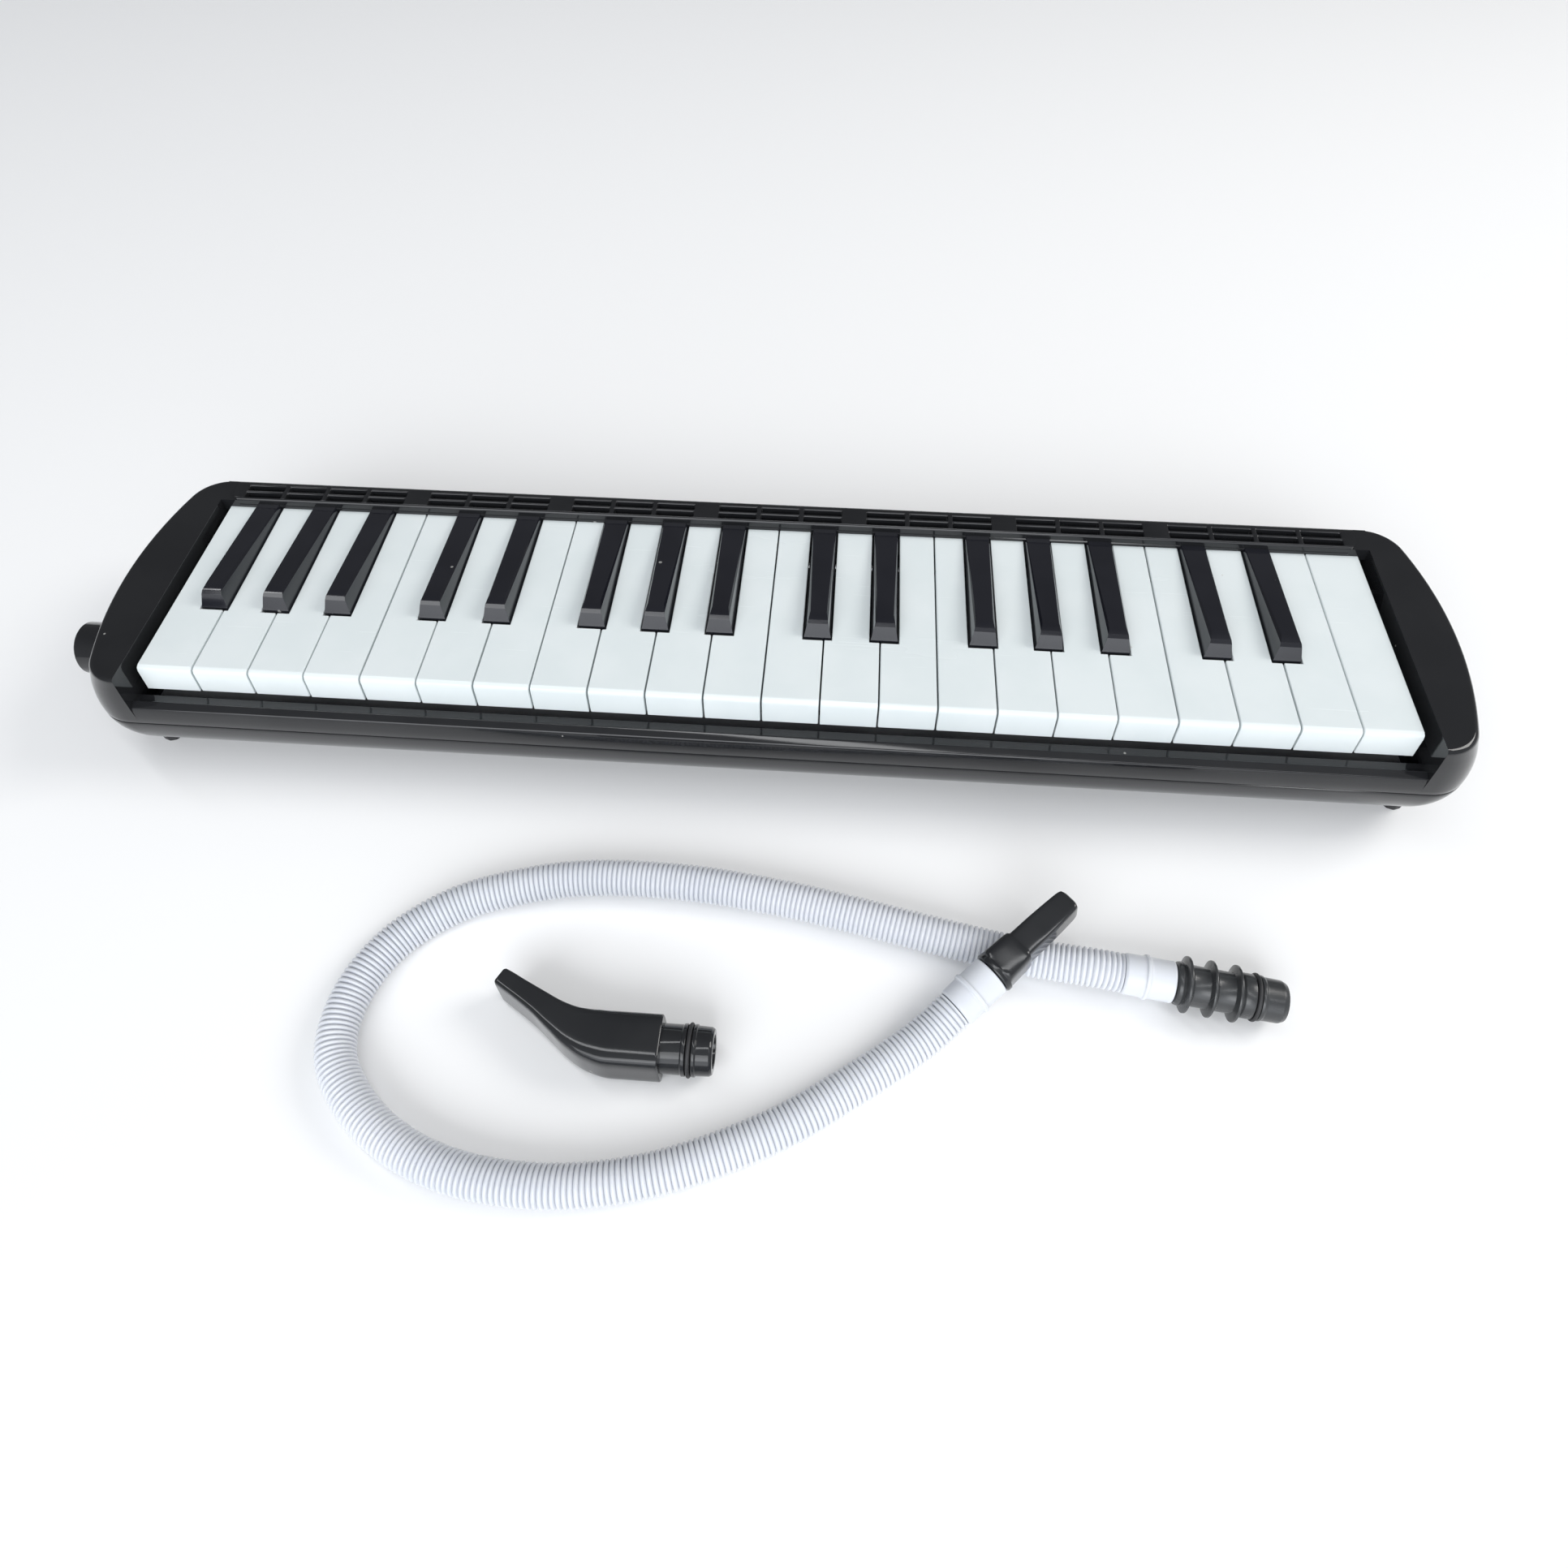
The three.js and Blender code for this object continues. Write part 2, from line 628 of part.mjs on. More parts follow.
function shortMouthpiece() {
  const skin = mouthpieceSkin([
    [spigotStart, mouthY, mouthZ, 7.7, 7.7, 2.2], [-33, mouthY, mouthZ, 7.8, 7.8, 2.4],
    [-38, -95.6, mouthZ, 7.2, 7.8, 2.7], [-43, -94.2, mouthZ, 5.9, 7.75, 3.1],
    [-48.5, -91.6, mouthZ, 4.4, 7.7, 3.6], [-54.5, -88, mouthZ, 3.3, 7.5, 4],
    [-61, -84.3, mouthZ, 2.6, 7, 4], [-67.2, -80.9, mouthZ, 2.2, 6.3, 4],
  ]);
  const air = mouthpieceSkin([
    [2, mouthY, mouthZ, 4.6, 4.6, 2], [-33, mouthY, mouthZ, 4.6, 4.6, 2], [-43, -94.2, mouthZ, 3.6, 4.8, 2.6],
    [-54.5, -88, mouthZ, 1.8, 5, 3.4], [-74, -77.2, mouthZ, 1, 4.6, 3.4],
  ]);
  const spigot = turned([
    [0, 0], [0, 6.7], [6, 6.7], [6.2, 7], [6.9, 7], [6.9, 5.9], [8.5, 5.9], [8.5, 7], [9.4, 6.7],
    [13.6, 6.5], [14.2, 6], [14.2, 0],
  ], [spigotStart, mouthY, mouthZ], [1, 0, 0], 16);
  return joined([skin, spigot]).subtract(air);
}

function sealRing(radius, middle, direction) {
  const profile = arc(0, radius, ringRadius, 0, 2 * Math.PI, 6);
  profile[6] = [...profile[0]];
  return turned(profile, middle, direction, 12);
}

const shortSeal = sealRing(6.85, [spigotStart + 7.7, mouthY, mouthZ], [1, 0, 0]);
place(instrument, 'short_mouthpiece', shortMouthpiece(), blackGloss);
place(instrument, 'short_mouthpiece_o_ring', shortSeal, darkRubber);

// The hose lies in one open loop: it leaves the connector, sweeps round on the left and
// comes back over itself, where the playing mouthpiece rests on the first pass.
const hoseRoute = [
  [108.3, -65.2, 8.1], [100, -64.1, 8.1], [89, -62.3, 6.7], [76, -60, hoseGround],
  [51, -55.1, hoseGround], [30, -50.7, hoseGround], [9, -46.9, hoseGround], [-19, -43.8, hoseGround],
  [-50, -44.3, hoseGround], [-70, -48.6, hoseGround], [-88.5, -56.4, hoseGround],
  [-103.5, -70, hoseGround], [-110.6, -86.5, hoseGround], [-109.6, -103.2, hoseGround],
  [-99, -117, hoseGround], [-84, -126.6, hoseGround], [-67.6, -131.6, hoseGround],
  [-50, -133.1, hoseGround], [-33.4, -131.8, hoseGround], [-16.8, -127.9, hoseGround],
  [-0.2, -121.5, hoseGround], [16, -113.3, 5.8], [31, -103.4, 6.1], [44, -94.2, 6.9],
  [53.2, -87, 8.2], [60.2, -80.6, 10.6],
];

function hoseCurve() {
  return new THREE.CatmullRomCurve3(hoseRoute.map((p) => new THREE.Vector3(...p)), false, 'centripetal');
}

function hoseTube() {
  const sides = 8;
  const section = new THREE.Shape(rowOf(sides, (i) => {
    const turn = (2 * Math.PI * (i + 0.5)) / sides;
    return new THREE.Vector2(hoseRadius * Math.cos(turn), hoseRadius * Math.sin(turn));
  }));
  return solidOf(new THREE.ExtrudeGeometry(section, { steps: 30, extrudePath: hoseCurve() }));
}

// Smooth cuff moulded on a hose end: a sleeve with one raised ring, then a plain collar.
function hoseCuff(start, direction) {
  return turned([
    [0, 0], [0, 5.8], [5.6, 5.9], [5.9, 6.4], [6.9, 6.4], [7.2, 5.9], [cuffLength, 5.9], [cuffLength, 0],
  ], start, direction, 14);
}

function onLine(start, direction, distance) {
  return new THREE.Vector3(...start).addScaledVector(new THREE.Vector3(...direction), distance).toArray();
}

// Both cuffs carry straight on from the ends of the tube.
const plugAim = hoseCurve().getTangentAt(0).negate().toArray();
const tipAim = hoseCurve().getTangentAt(1).toArray();
const plugStart = onLine(hoseRoute[0], plugAim, joint);
const tipStart = onLine(hoseRoute[hoseRoute.length - 1], tipAim, joint);

function hoseConnector() {
  const rings = [3.2, 9.8, 16.6];
  const profile = [[0, 0], [0, 5.6], [1.2, 6.6]];
  for (const s of rings) profile.push([s - 1, 5.6], [s - 0.5, 8], [s + 0.3, 8], [s + 1.4, 5.7]);
  profile.push([18, 6.3], [21.1, 6.3], [21.1, 5.3], [22.7, 5.3], [22.7, 6.3], [29, 6.2], [30, 5.4], [30, 0]);
  const start = onLine(plugStart, plugAim, cuffLength + joint);
  const body = turned(profile, start, plugAim, 16);
  const bore = turned([[20, 0], [20, 3.6], [32, 3.6], [32, 0]], start, plugAim, 10);
  return body.subtract(bore);
}

function hoseMouthpiece() {
  const start = onLine(tipStart, tipAim, cuffLength + joint);
  const station = (s, thick, wide, power) => [...onLine(start, tipAim, s), thick, wide, power];
  const skin = mouthpieceSkin([
    station(0, 6.2, 6.2, 2), station(1.6, 6.2, 6.2, 2), station(2, 5.6, 5.8, 2.2), station(7, 4.4, 5.4, 2.8),
    station(12, 3.2, 5, 3.6), station(22, 2.7, 4.9, 4), station(29, 2.5, 4.7, 4), station(30.5, 2, 4, 3),
  ]);
  const air = mouthpieceSkin([
    station(18, 1, 3, 3), station(26, 0.9, 3.2, 3), station(34, 0.9, 3.2, 3),
  ]);
  return skin.subtract(air);
}

const sealMiddle = onLine(plugStart, plugAim, cuffLength + joint + 21.9);
place(playingHose, 'hose_tube', hoseTube(), hosePlastic);
place(playingHose, 'hose_connector_cuff', hoseCuff(plugStart, plugAim), hosePlastic);
place(playingHose, 'hose_mouthpiece_cuff', hoseCuff(tipStart, tipAim), hosePlastic);
place(playingHose, 'hose_connector', hoseConnector(), darkRubber);
place(playingHose, 'connector_o_ring', sealRing(6.2, sealMiddle, plugAim), darkRubber);
place(playingHose, 'hose_mouthpiece', hoseMouthpiece(), blackGloss);

// The frame's origin lies on the standing surface, under the middle of the box round
// the instrument and its short mouthpiece.
const extent = new THREE.Box3().setFromObject(instrument);
const melodica = new THREE.Group();
melodica.add(instrument, playingHose);
melodica.position.set(-(extent.min.x + extent.max.x) / 2, -(extent.min.y + extent.max.y) / 2, 0);

export default melodica;
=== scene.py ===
import math

import bmesh
import bpy
import numpy as np
from mathutils import Matrix, Vector


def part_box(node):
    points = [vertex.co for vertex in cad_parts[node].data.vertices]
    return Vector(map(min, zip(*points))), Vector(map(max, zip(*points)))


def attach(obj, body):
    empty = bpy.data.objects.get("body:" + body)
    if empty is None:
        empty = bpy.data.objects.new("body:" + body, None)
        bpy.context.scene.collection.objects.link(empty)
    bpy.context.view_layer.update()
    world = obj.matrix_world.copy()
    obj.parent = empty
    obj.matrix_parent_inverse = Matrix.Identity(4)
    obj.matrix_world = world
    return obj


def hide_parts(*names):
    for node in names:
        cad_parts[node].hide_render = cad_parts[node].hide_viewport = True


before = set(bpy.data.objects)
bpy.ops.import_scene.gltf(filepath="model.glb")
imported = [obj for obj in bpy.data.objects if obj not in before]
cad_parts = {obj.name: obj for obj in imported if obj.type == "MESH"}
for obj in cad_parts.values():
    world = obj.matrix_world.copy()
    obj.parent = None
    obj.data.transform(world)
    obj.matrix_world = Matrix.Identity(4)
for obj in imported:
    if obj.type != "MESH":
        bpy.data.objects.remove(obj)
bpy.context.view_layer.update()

# A melodica with 37 keys, its playing hose and its short mouthpiece.
# Shapes are worked out in instrument millimetres: X from the middle of the keyboard,
# Y from the foremost point of the white keys, Z from the standing surface. The CAD's zero in Y lies 1.0 mm
# behind that point, so what is built here stands 1.0 mm forward of its node.

mm = 0.001
rodLow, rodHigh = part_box("key_rod")
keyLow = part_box("white_key_F3")[0]
shift = np.array([(rodLow.x + rodHigh.x) / 2, keyLow.y, 0.0])
keyNames = [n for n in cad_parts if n.startswith(("white_key_", "black_key_"))]
print("frame loaded:", len(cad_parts), "nodes,", len(keyNames), "keys")


# ---------- places and meshes

def toFrame(points):
    # millimetres times 0.001 plus the keyboard's place in the frame
    return np.asarray(points, float) * mm + shift


def unit(v):
    # v over its length
    v = np.asarray(v, float)
    return v / np.linalg.norm(v, axis=-1, keepdims=True)


weldDistance = 1e-7


def finishMesh(obj, sharpAngle):
    # outward faces, smooth shading, and a hard line where two faces turn more than the angle
    work = bmesh.new()
    work.from_mesh(obj.data)
    bmesh.ops.remove_doubles(work, verts=work.verts, dist=weldDistance)
    bmesh.ops.recalc_face_normals(work, faces=work.faces)
    work.to_mesh(obj.data)
    work.free()
    obj.data.shade_smooth()
    obj.data.set_sharp_from_angle(angle=math.radians(sharpAngle))
    return obj


def addMesh(name, points, faces, sharpAngle=35):
    mesh = bpy.data.meshes.new(name)
    mesh.from_pydata(toFrame(points).tolist(), [], faces)
    obj = bpy.data.objects.new(name, mesh)
    bpy.context.scene.collection.objects.link(obj)
    return finishMesh(obj, sharpAngle)


def ringFaces(rings, count, closed=False):
    # place c of ring r joins place c + 1 and ring r + 1, and a ring closes on itself;
    # a closed row of rings joins its last ring to its first, an open row gets a face on each end
    last = rings if closed else rings - 1
    r, c = np.meshgrid(np.arange(last), np.arange(count), indexing="ij")
    d = (c + 1) % count
    s = (r + 1) % rings
    faces = np.stack([r * count + c, r * count + d, s * count + d, s * count + c], -1).reshape(-1, 4).tolist()
    if not closed:
        faces.append(list(range(count))[::-1])
        faces.append(list(range((rings - 1) * count, rings * count)))
    return faces


def skinRings(name, rings, closed=False, sharpAngle=35):
    # a skin through rings of equal count, an array (ring, place, xyz) in millimetres
    rings = np.asarray(rings, float)
    return addMesh(name, rings.reshape(-1, 3), ringFaces(rings.shape[0], rings.shape[1], closed), sharpAngle)


def softCorners(profile, radius, steps=3, closed=False):
    # each corner becomes a quadratic curve that starts and ends a radius, or 0.45 of the edge, away from it
    p = np.asarray(profile, float)
    before, after = np.roll(p, 1, 0), np.roll(p, -1, 0)
    out = []
    t = np.linspace(0, 1, steps + 1)[:, None]
    for i, here in enumerate(p):
        if not closed and i in (0, len(p) - 1):
            out.append(here[None])
            continue
        a, b = before[i] - here, after[i] - here
        la, lb = np.linalg.norm(a), np.linalg.norm(b)
        start = here + a / la * min(radius, 0.45 * la)
        end = here + b / lb * min(radius, 0.45 * lb)
        out.append((1 - t) ** 2 * start + 2 * t * (1 - t) * here + t ** 2 * end)
    return np.concatenate(out)


def turnedPiece(name, profile, start, aim, segments=56, closed=False, sharpAngle=35):
    # ring i is start + s_i * aim + r_i * (cos a * side + sin a * up), with a the turn round the axis
    aim = unit(aim)
    side = unit(np.cross([0.0, 0.0, 1.0], aim)) if abs(aim[2]) < 0.99 else np.array([1.0, 0.0, 0.0])
    up = np.cross(aim, side)
    turn = np.linspace(0, 2 * math.pi, segments, endpoint=False)
    circle = np.cos(turn)[:, None] * side + np.sin(turn)[:, None] * up
    p = np.asarray(profile, float)
    rings = np.asarray(start) + p[:, 0, None, None] * aim + p[:, 1, None, None] * circle
    return skinRings(name, rings, closed, sharpAngle)


def extruded(name, outline, axis, low, high, sharpAngle=35):
    # the outline is carried straight along an axis: (y, z) pairs along X, (x, z) along Y, (x, y) along Z
    o = np.asarray(outline, float)
    rings = np.zeros((2, len(o), 3))
    across = [i for i in range(3) if i != axis]
    rings[:, :, across] = o
    rings[0, :, axis], rings[1, :, axis] = low, high
    return skinRings(name, rings, False, sharpAngle)


def arc(centre, radius, first, last, steps):
    # centre + radius * (cos a, sin a), with a from the first angle to the last in degrees
    a = np.radians(np.linspace(first, last, steps + 1))
    return np.stack([centre[0] + radius * np.cos(a), centre[1] + radius * np.sin(a)], -1)


def combine(obj, others, operation):
    # joins or cuts closed meshes, then takes the tools away
    for other in others:
        step = obj.modifiers.new("combine", "BOOLEAN")
        step.operation = operation
        step.solver = "MANIFOLD"
        step.object = other
    settle(obj)
    for other in others:
        bpy.data.objects.remove(other)
    return obj


def settle(obj):
    # the mesh after its modifiers becomes the mesh itself
    view = bpy.context.evaluated_depsgraph_get()
    view.update()
    made = bpy.data.meshes.new_from_object(obj.evaluated_get(view))
    obj.modifiers.clear()
    old, obj.data = obj.data, made
    name = old.name
    bpy.data.meshes.remove(old)
    made.name = name
    return obj


copySettings = {"weld": 2e-6, "flatWithin": 1.0, "edgeOver": 20.0, "flatWeight": 100}


def cadCopy(node, name, bevel, segments=2, sharpAngle=180, reshape=None):
    # a node's loose triangles are merged and its flat faces made whole, then its edges are rounded
    s = copySettings
    work = bmesh.new()
    work.from_mesh(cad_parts[node].data)
    bmesh.ops.remove_doubles(work, verts=work.verts, dist=s["weld"])
    if reshape:
        moved = reshape(np.array([v.co for v in work.verts]))
        for vert, spot in zip(work.verts, moved.tolist()):
            vert.co = spot
    flat = math.radians(s["flatWithin"])
    bmesh.ops.dissolve_limit(work, angle_limit=flat, verts=work.verts, edges=work.edges)
    mesh = bpy.data.meshes.new(name)
    work.to_mesh(mesh)
    work.free()
    obj = bpy.data.objects.new(name, mesh)
    bpy.context.scene.collection.objects.link(obj)
    finishMesh(obj, sharpAngle)
    edge = obj.modifiers.new("edges", "BEVEL")
    edge.width = bevel * mm
    edge.segments = segments
    edge.limit_method = "ANGLE"
    edge.angle_limit = math.radians(s["edgeOver"])
    obj.modifiers.new("flatFaces", "WEIGHTED_NORMAL").weight = s["flatWeight"]
    return obj


def place(obj, body, node, material):
    # rides on its body, stands for its node and takes its finish
    obj.data.materials.clear()
    obj.data.materials.append(material)
    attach(obj, body)
    if node:
        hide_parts(node)
    return obj


# ---------- camera

cameraSettings = {
    "place": (0.026656, -0.193009, 0.292565),
    "azimuth": 0.0831245,
    "elevation": 0.9010747,
    "roll": -0.012009,
    "lens": 24.224,
    "sensor": 36.0,
    "shiftX": 0.0019,
    "shiftY": -0.0497,
    "clip": (0.01, 20.0),
}


def makeCamera(s):
    # forward = (-sin az cos el, cos az cos el, -sin el); the picture is then rolled about it
    az, el, roll = s["azimuth"], s["elevation"], s["roll"]
    forward = Vector((-math.sin(az) * math.cos(el), math.cos(az) * math.cos(el), -math.sin(el)))
    right = forward.cross(Vector((0, 0, 1))).normalized()
    up = right.cross(forward)
    rolledUp = up * math.cos(roll) - right * math.sin(roll)
    rolledRight = right * math.cos(roll) + up * math.sin(roll)
    data = bpy.data.cameras.new("camera")
    data.lens, data.sensor_width = s["lens"], s["sensor"]
    data.shift_x, data.shift_y = s["shiftX"], s["shiftY"]
    data.clip_start, data.clip_end = s["clip"]
    camera = bpy.data.objects.new("camera", data)
    bpy.context.scene.collection.objects.link(camera)
    camera.matrix_world = Matrix((
        (rolledRight.x, rolledUp.x, -forward.x, s["place"][0]),
        (rolledRight.y, rolledUp.y, -forward.y, s["place"][1]),
        (rolledRight.z, rolledUp.z, -forward.z, s["place"][2]),
        (0, 0, 0, 1),
    ))
    bpy.context.scene.camera = camera


makeCamera(cameraSettings)
print("camera placed")


# ---------- finishes

def newGroup(name, inputs, outputs):
    # an empty shader group with named sockets: inputs hold (name, kind, value), outputs (name, kind)
    group = bpy.data.node_groups.new(name, "ShaderNodeTree")
    for label, kind, value in inputs:
        socket = group.interface.new_socket(name=label, in_out="INPUT", socket_type=kind)
        socket.default_value = value
    for label, kind in outputs:
        group.interface.new_socket(name=label, in_out="OUTPUT", socket_type=kind)
    return group, group.nodes.new("NodeGroupInput"), group.nodes.new("NodeGroupOutput")


def maths(tree, operation, a, b=0.0, clamp=False):
    # a and b are numbers or sockets
    node = tree.nodes.new("ShaderNodeMath")
    node.operation, node.use_clamp = operation, clamp
    for socket, value in zip(node.inputs, (a, b)):
        if hasattr(value, "is_linked"):
            tree.links.new(value, socket)
        else:
            socket.default_value = value
    return node.outputs[0]


def noise(tree, vector, scale, detail):
    # fractal noise from 0 to 1; the scale is a number or a socket
    node = tree.nodes.new("ShaderNodeTexNoise")
    node.inputs["Detail"].default_value = detail
    tree.links.new(vector, node.inputs["Vector"])
    if hasattr(scale, "is_linked"):
        tree.links.new(scale, node.inputs["Scale"])
    else:
        node.inputs["Scale"].default_value = scale
    return node.outputs["Fac"]


def ramp(tree, value, low, high):
    # 0 below low, 1 above high, a soft step between
    node = tree.nodes.new("ShaderNodeMapRange")
    node.interpolation_type = "SMOOTHSTEP"
    node.inputs["From Min"].default_value, node.inputs["From Max"].default_value = low, high
    tree.links.new(value, node.inputs["Value"])
    return node.outputs["Result"]


def blend(tree, share, a, b):
    # a * (1 - share) + b * share; a and b are colours or sockets
    node = tree.nodes.new("ShaderNodeMix")
    node.data_type = "RGBA"
    tree.links.new(share, node.inputs["Factor"])
    for label, value in (("A", a), ("B", b)):
        socket = [i for i in node.inputs if i.name == label and i.type == "RGBA"][0]
        if hasattr(value, "is_linked"):
            tree.links.new(value, socket)
        else:
            socket.default_value = (*value, 1.0)
    return node.outputs["Result"]


handlingSettings = {
    "smearStretch": (0.35, 1.0, 1.0),
    "smearScale": 38.0,
    "smearSpan": (0.42, 0.7),
    "scratchStretch": (0.03, 1.0, 0.03),
    "scratchLines": ((0.5, 900.0), (-0.9, 1300.0)),
    "scratchSpan": (0.69, 0.76),
}


def makeHandling(s):
    # smears = soft noise stretched along X; scratches = the peaks of two fine noises drawn out into lines,
    # each turned about Z; both are masks from 0 to 1
    group, given, made = newGroup(
        "handling",
        [("Position", "NodeSocketVector", (0, 0, 0)), ("Scale", "NodeSocketFloat", 1.0)],
        [("Smears", "NodeSocketFloat"), ("Scratches", "NodeSocketFloat")],
    )
    stretch = group.nodes.new("ShaderNodeMapping")
    stretch.inputs["Scale"].default_value = s["smearStretch"]
    group.links.new(given.outputs["Position"], stretch.inputs["Vector"])
    smearScale = maths(group, "MULTIPLY", given.outputs["Scale"], s["smearScale"])
    smears = ramp(group, noise(group, stretch.outputs[0], smearScale, 4), *s["smearSpan"])
    group.links.new(smears, made.inputs["Smears"])
    thin = None
    for turn, scale in s["scratchLines"]:
        lean = group.nodes.new("ShaderNodeMapping")
        lean.inputs["Rotation"].default_value = (0.0, 0.0, turn)
        lean.inputs["Scale"].default_value = s["scratchStretch"]
        group.links.new(given.outputs["Position"], lean.inputs["Vector"])
        lines = ramp(group, noise(group, lean.outputs[0], scale, 2), *s["scratchSpan"])
        thin = lines if thin is None else maths(group, "MAXIMUM", thin, lines)
    group.links.new(thin, made.inputs["Scratches"])
    return group


largestSpeck = 0.16


def makeDust():
    # a cell keeps a speck only where its own random number is above 1 - amount;
    # the speck is a dot round the cell's centre, with a radius from a second random number
    group, given, made = newGroup(
        "dust",
        [("Position", "NodeSocketVector", (0, 0, 0)), ("Scale", "NodeSocketFloat", 300.0),
         ("Amount", "NodeSocketFloat", 0.05)],
        [("Specks", "NodeSocketFloat")],
    )
    cells = group.nodes.new("ShaderNodeTexVoronoi")
    group.links.new(given.outputs["Position"], cells.inputs["Vector"])
    group.links.new(given.outputs["Scale"], cells.inputs["Scale"])
    apart = group.nodes.new("ShaderNodeSeparateColor")
    group.links.new(cells.outputs["Color"], apart.inputs["Color"])
    floorLevel = maths(group, "SUBTRACT", 1.0, given.outputs["Amount"])
    chosen = maths(group, "GREATER_THAN", apart.outputs["Red"], floorLevel)
    size = maths(group, "MULTIPLY", apart.outputs["Green"], largestSpeck)
    near = maths(group, "LESS_THAN", cells.outputs["Distance"], size)
    group.links.new(maths(group, "MULTIPLY", chosen, near), made.inputs["Specks"])
    return group


def makeGrain():
    # height = fine noise plus a share of a broader one, as on moulded plastic
    group, given, made = newGroup(
        "grain",
        [("Position", "NodeSocketVector", (0, 0, 0)), ("Fine", "NodeSocketFloat", 2500.0),
         ("Broad", "NodeSocketFloat", 60.0), ("Share", "NodeSocketFloat", 0.5)],
        [("Height", "NodeSocketFloat"), ("Tone", "NodeSocketFloat")],
    )
    fine = noise(group, given.outputs["Position"], given.outputs["Fine"], 2)
    broad = noise(group, given.outputs["Position"], given.outputs["Broad"], 3)
    height = maths(group, "ADD", fine, maths(group, "MULTIPLY", broad, given.outputs["Share"]))
    group.links.new(height, made.inputs["Height"])
    group.links.new(broad, made.inputs["Tone"])
    return group


handlingGroup = makeHandling(handlingSettings)
dustGroup = makeDust()
grainGroup = makeGrain()


def plastic(name, s):
    # colour = base to tone by the broad grain, then to a painted shade colour where the mesh carries a groove
    # attribute (the hose's rib grooves), and to the dust's;
    # roughness = base + smears + scratches + dust; the bump comes from the grain
    material = bpy.data.materials.new(name)
    material.use_nodes = True
    tree = material.node_tree
    shader = tree.nodes["Principled BSDF"]
    position = tree.nodes.new("ShaderNodeTexCoord").outputs["Object"]

    def group(source, values):
        node = tree.nodes.new("ShaderNodeGroup")
        node.node_tree = source
        tree.links.new(position, node.inputs["Position"])
        for label, value in values.items():
            node.inputs[label].default_value = value
        return node

    grain = group(grainGroup, {"Fine": s["fine"], "Broad": s["broad"], "Share": s["share"]})
    handling = group(handlingGroup, {"Scale": s.get("handling", 1.0)})
    dust = group(dustGroup, {"Scale": s["dustScale"], "Amount": s["dustAmount"]})

    toned = blend(tree, ramp(tree, grain.outputs["Tone"], *s["toneSpan"]), s["color"], s["tone"])
    # painted shade: where the mesh carries a groove attribute, the colour is pulled towards a darker grey
    # that stands for the shade in the hose's rib grooves
    if "paintedGrooveShadeColor" in s:
        groove = tree.nodes.new("ShaderNodeAttribute")
        groove.attribute_name = "groove"
        depth = maths(tree, "MULTIPLY", groove.outputs["Fac"], s["paintedGrooveShadeStrength"])
        toned = blend(tree, depth, toned, s["paintedGrooveShadeColor"])
    specks = maths(tree, "MULTIPLY", dust.outputs["Specks"], s["dustShow"])
    tree.links.new(blend(tree, specks, toned, s["dust"]), shader.inputs["Base Color"])
    smears = maths(tree, "MULTIPLY", handling.outputs["Smears"], s["smears"])
    scratches = maths(tree, "MULTIPLY", handling.outputs["Scratches"], s["scratches"])
    dusty = maths(tree, "MULTIPLY", dust.outputs["Specks"], s["dustRough"])
    rough = maths(tree, "ADD", s["roughness"], smears)
    rough = maths(tree, "ADD", rough, scratches)
    rough = maths(tree, "ADD", rough, dusty, clamp=True)
    tree.links.new(rough, shader.inputs["Roughness"])
    bump = tree.nodes.new("ShaderNodeBump")
    bump.inputs["Strength"].default_value = s["bump"]
    bump.inputs["Distance"].default_value = s["bumpDepth"] * mm
    tree.links.new(grain.outputs["Height"], bump.inputs["Height"])
    tree.links.new(bump.outputs["Normal"], shader.inputs["Normal"])
    for label, value in s.get("constants", {}).items():
        shader.inputs[label].default_value = value
    return material


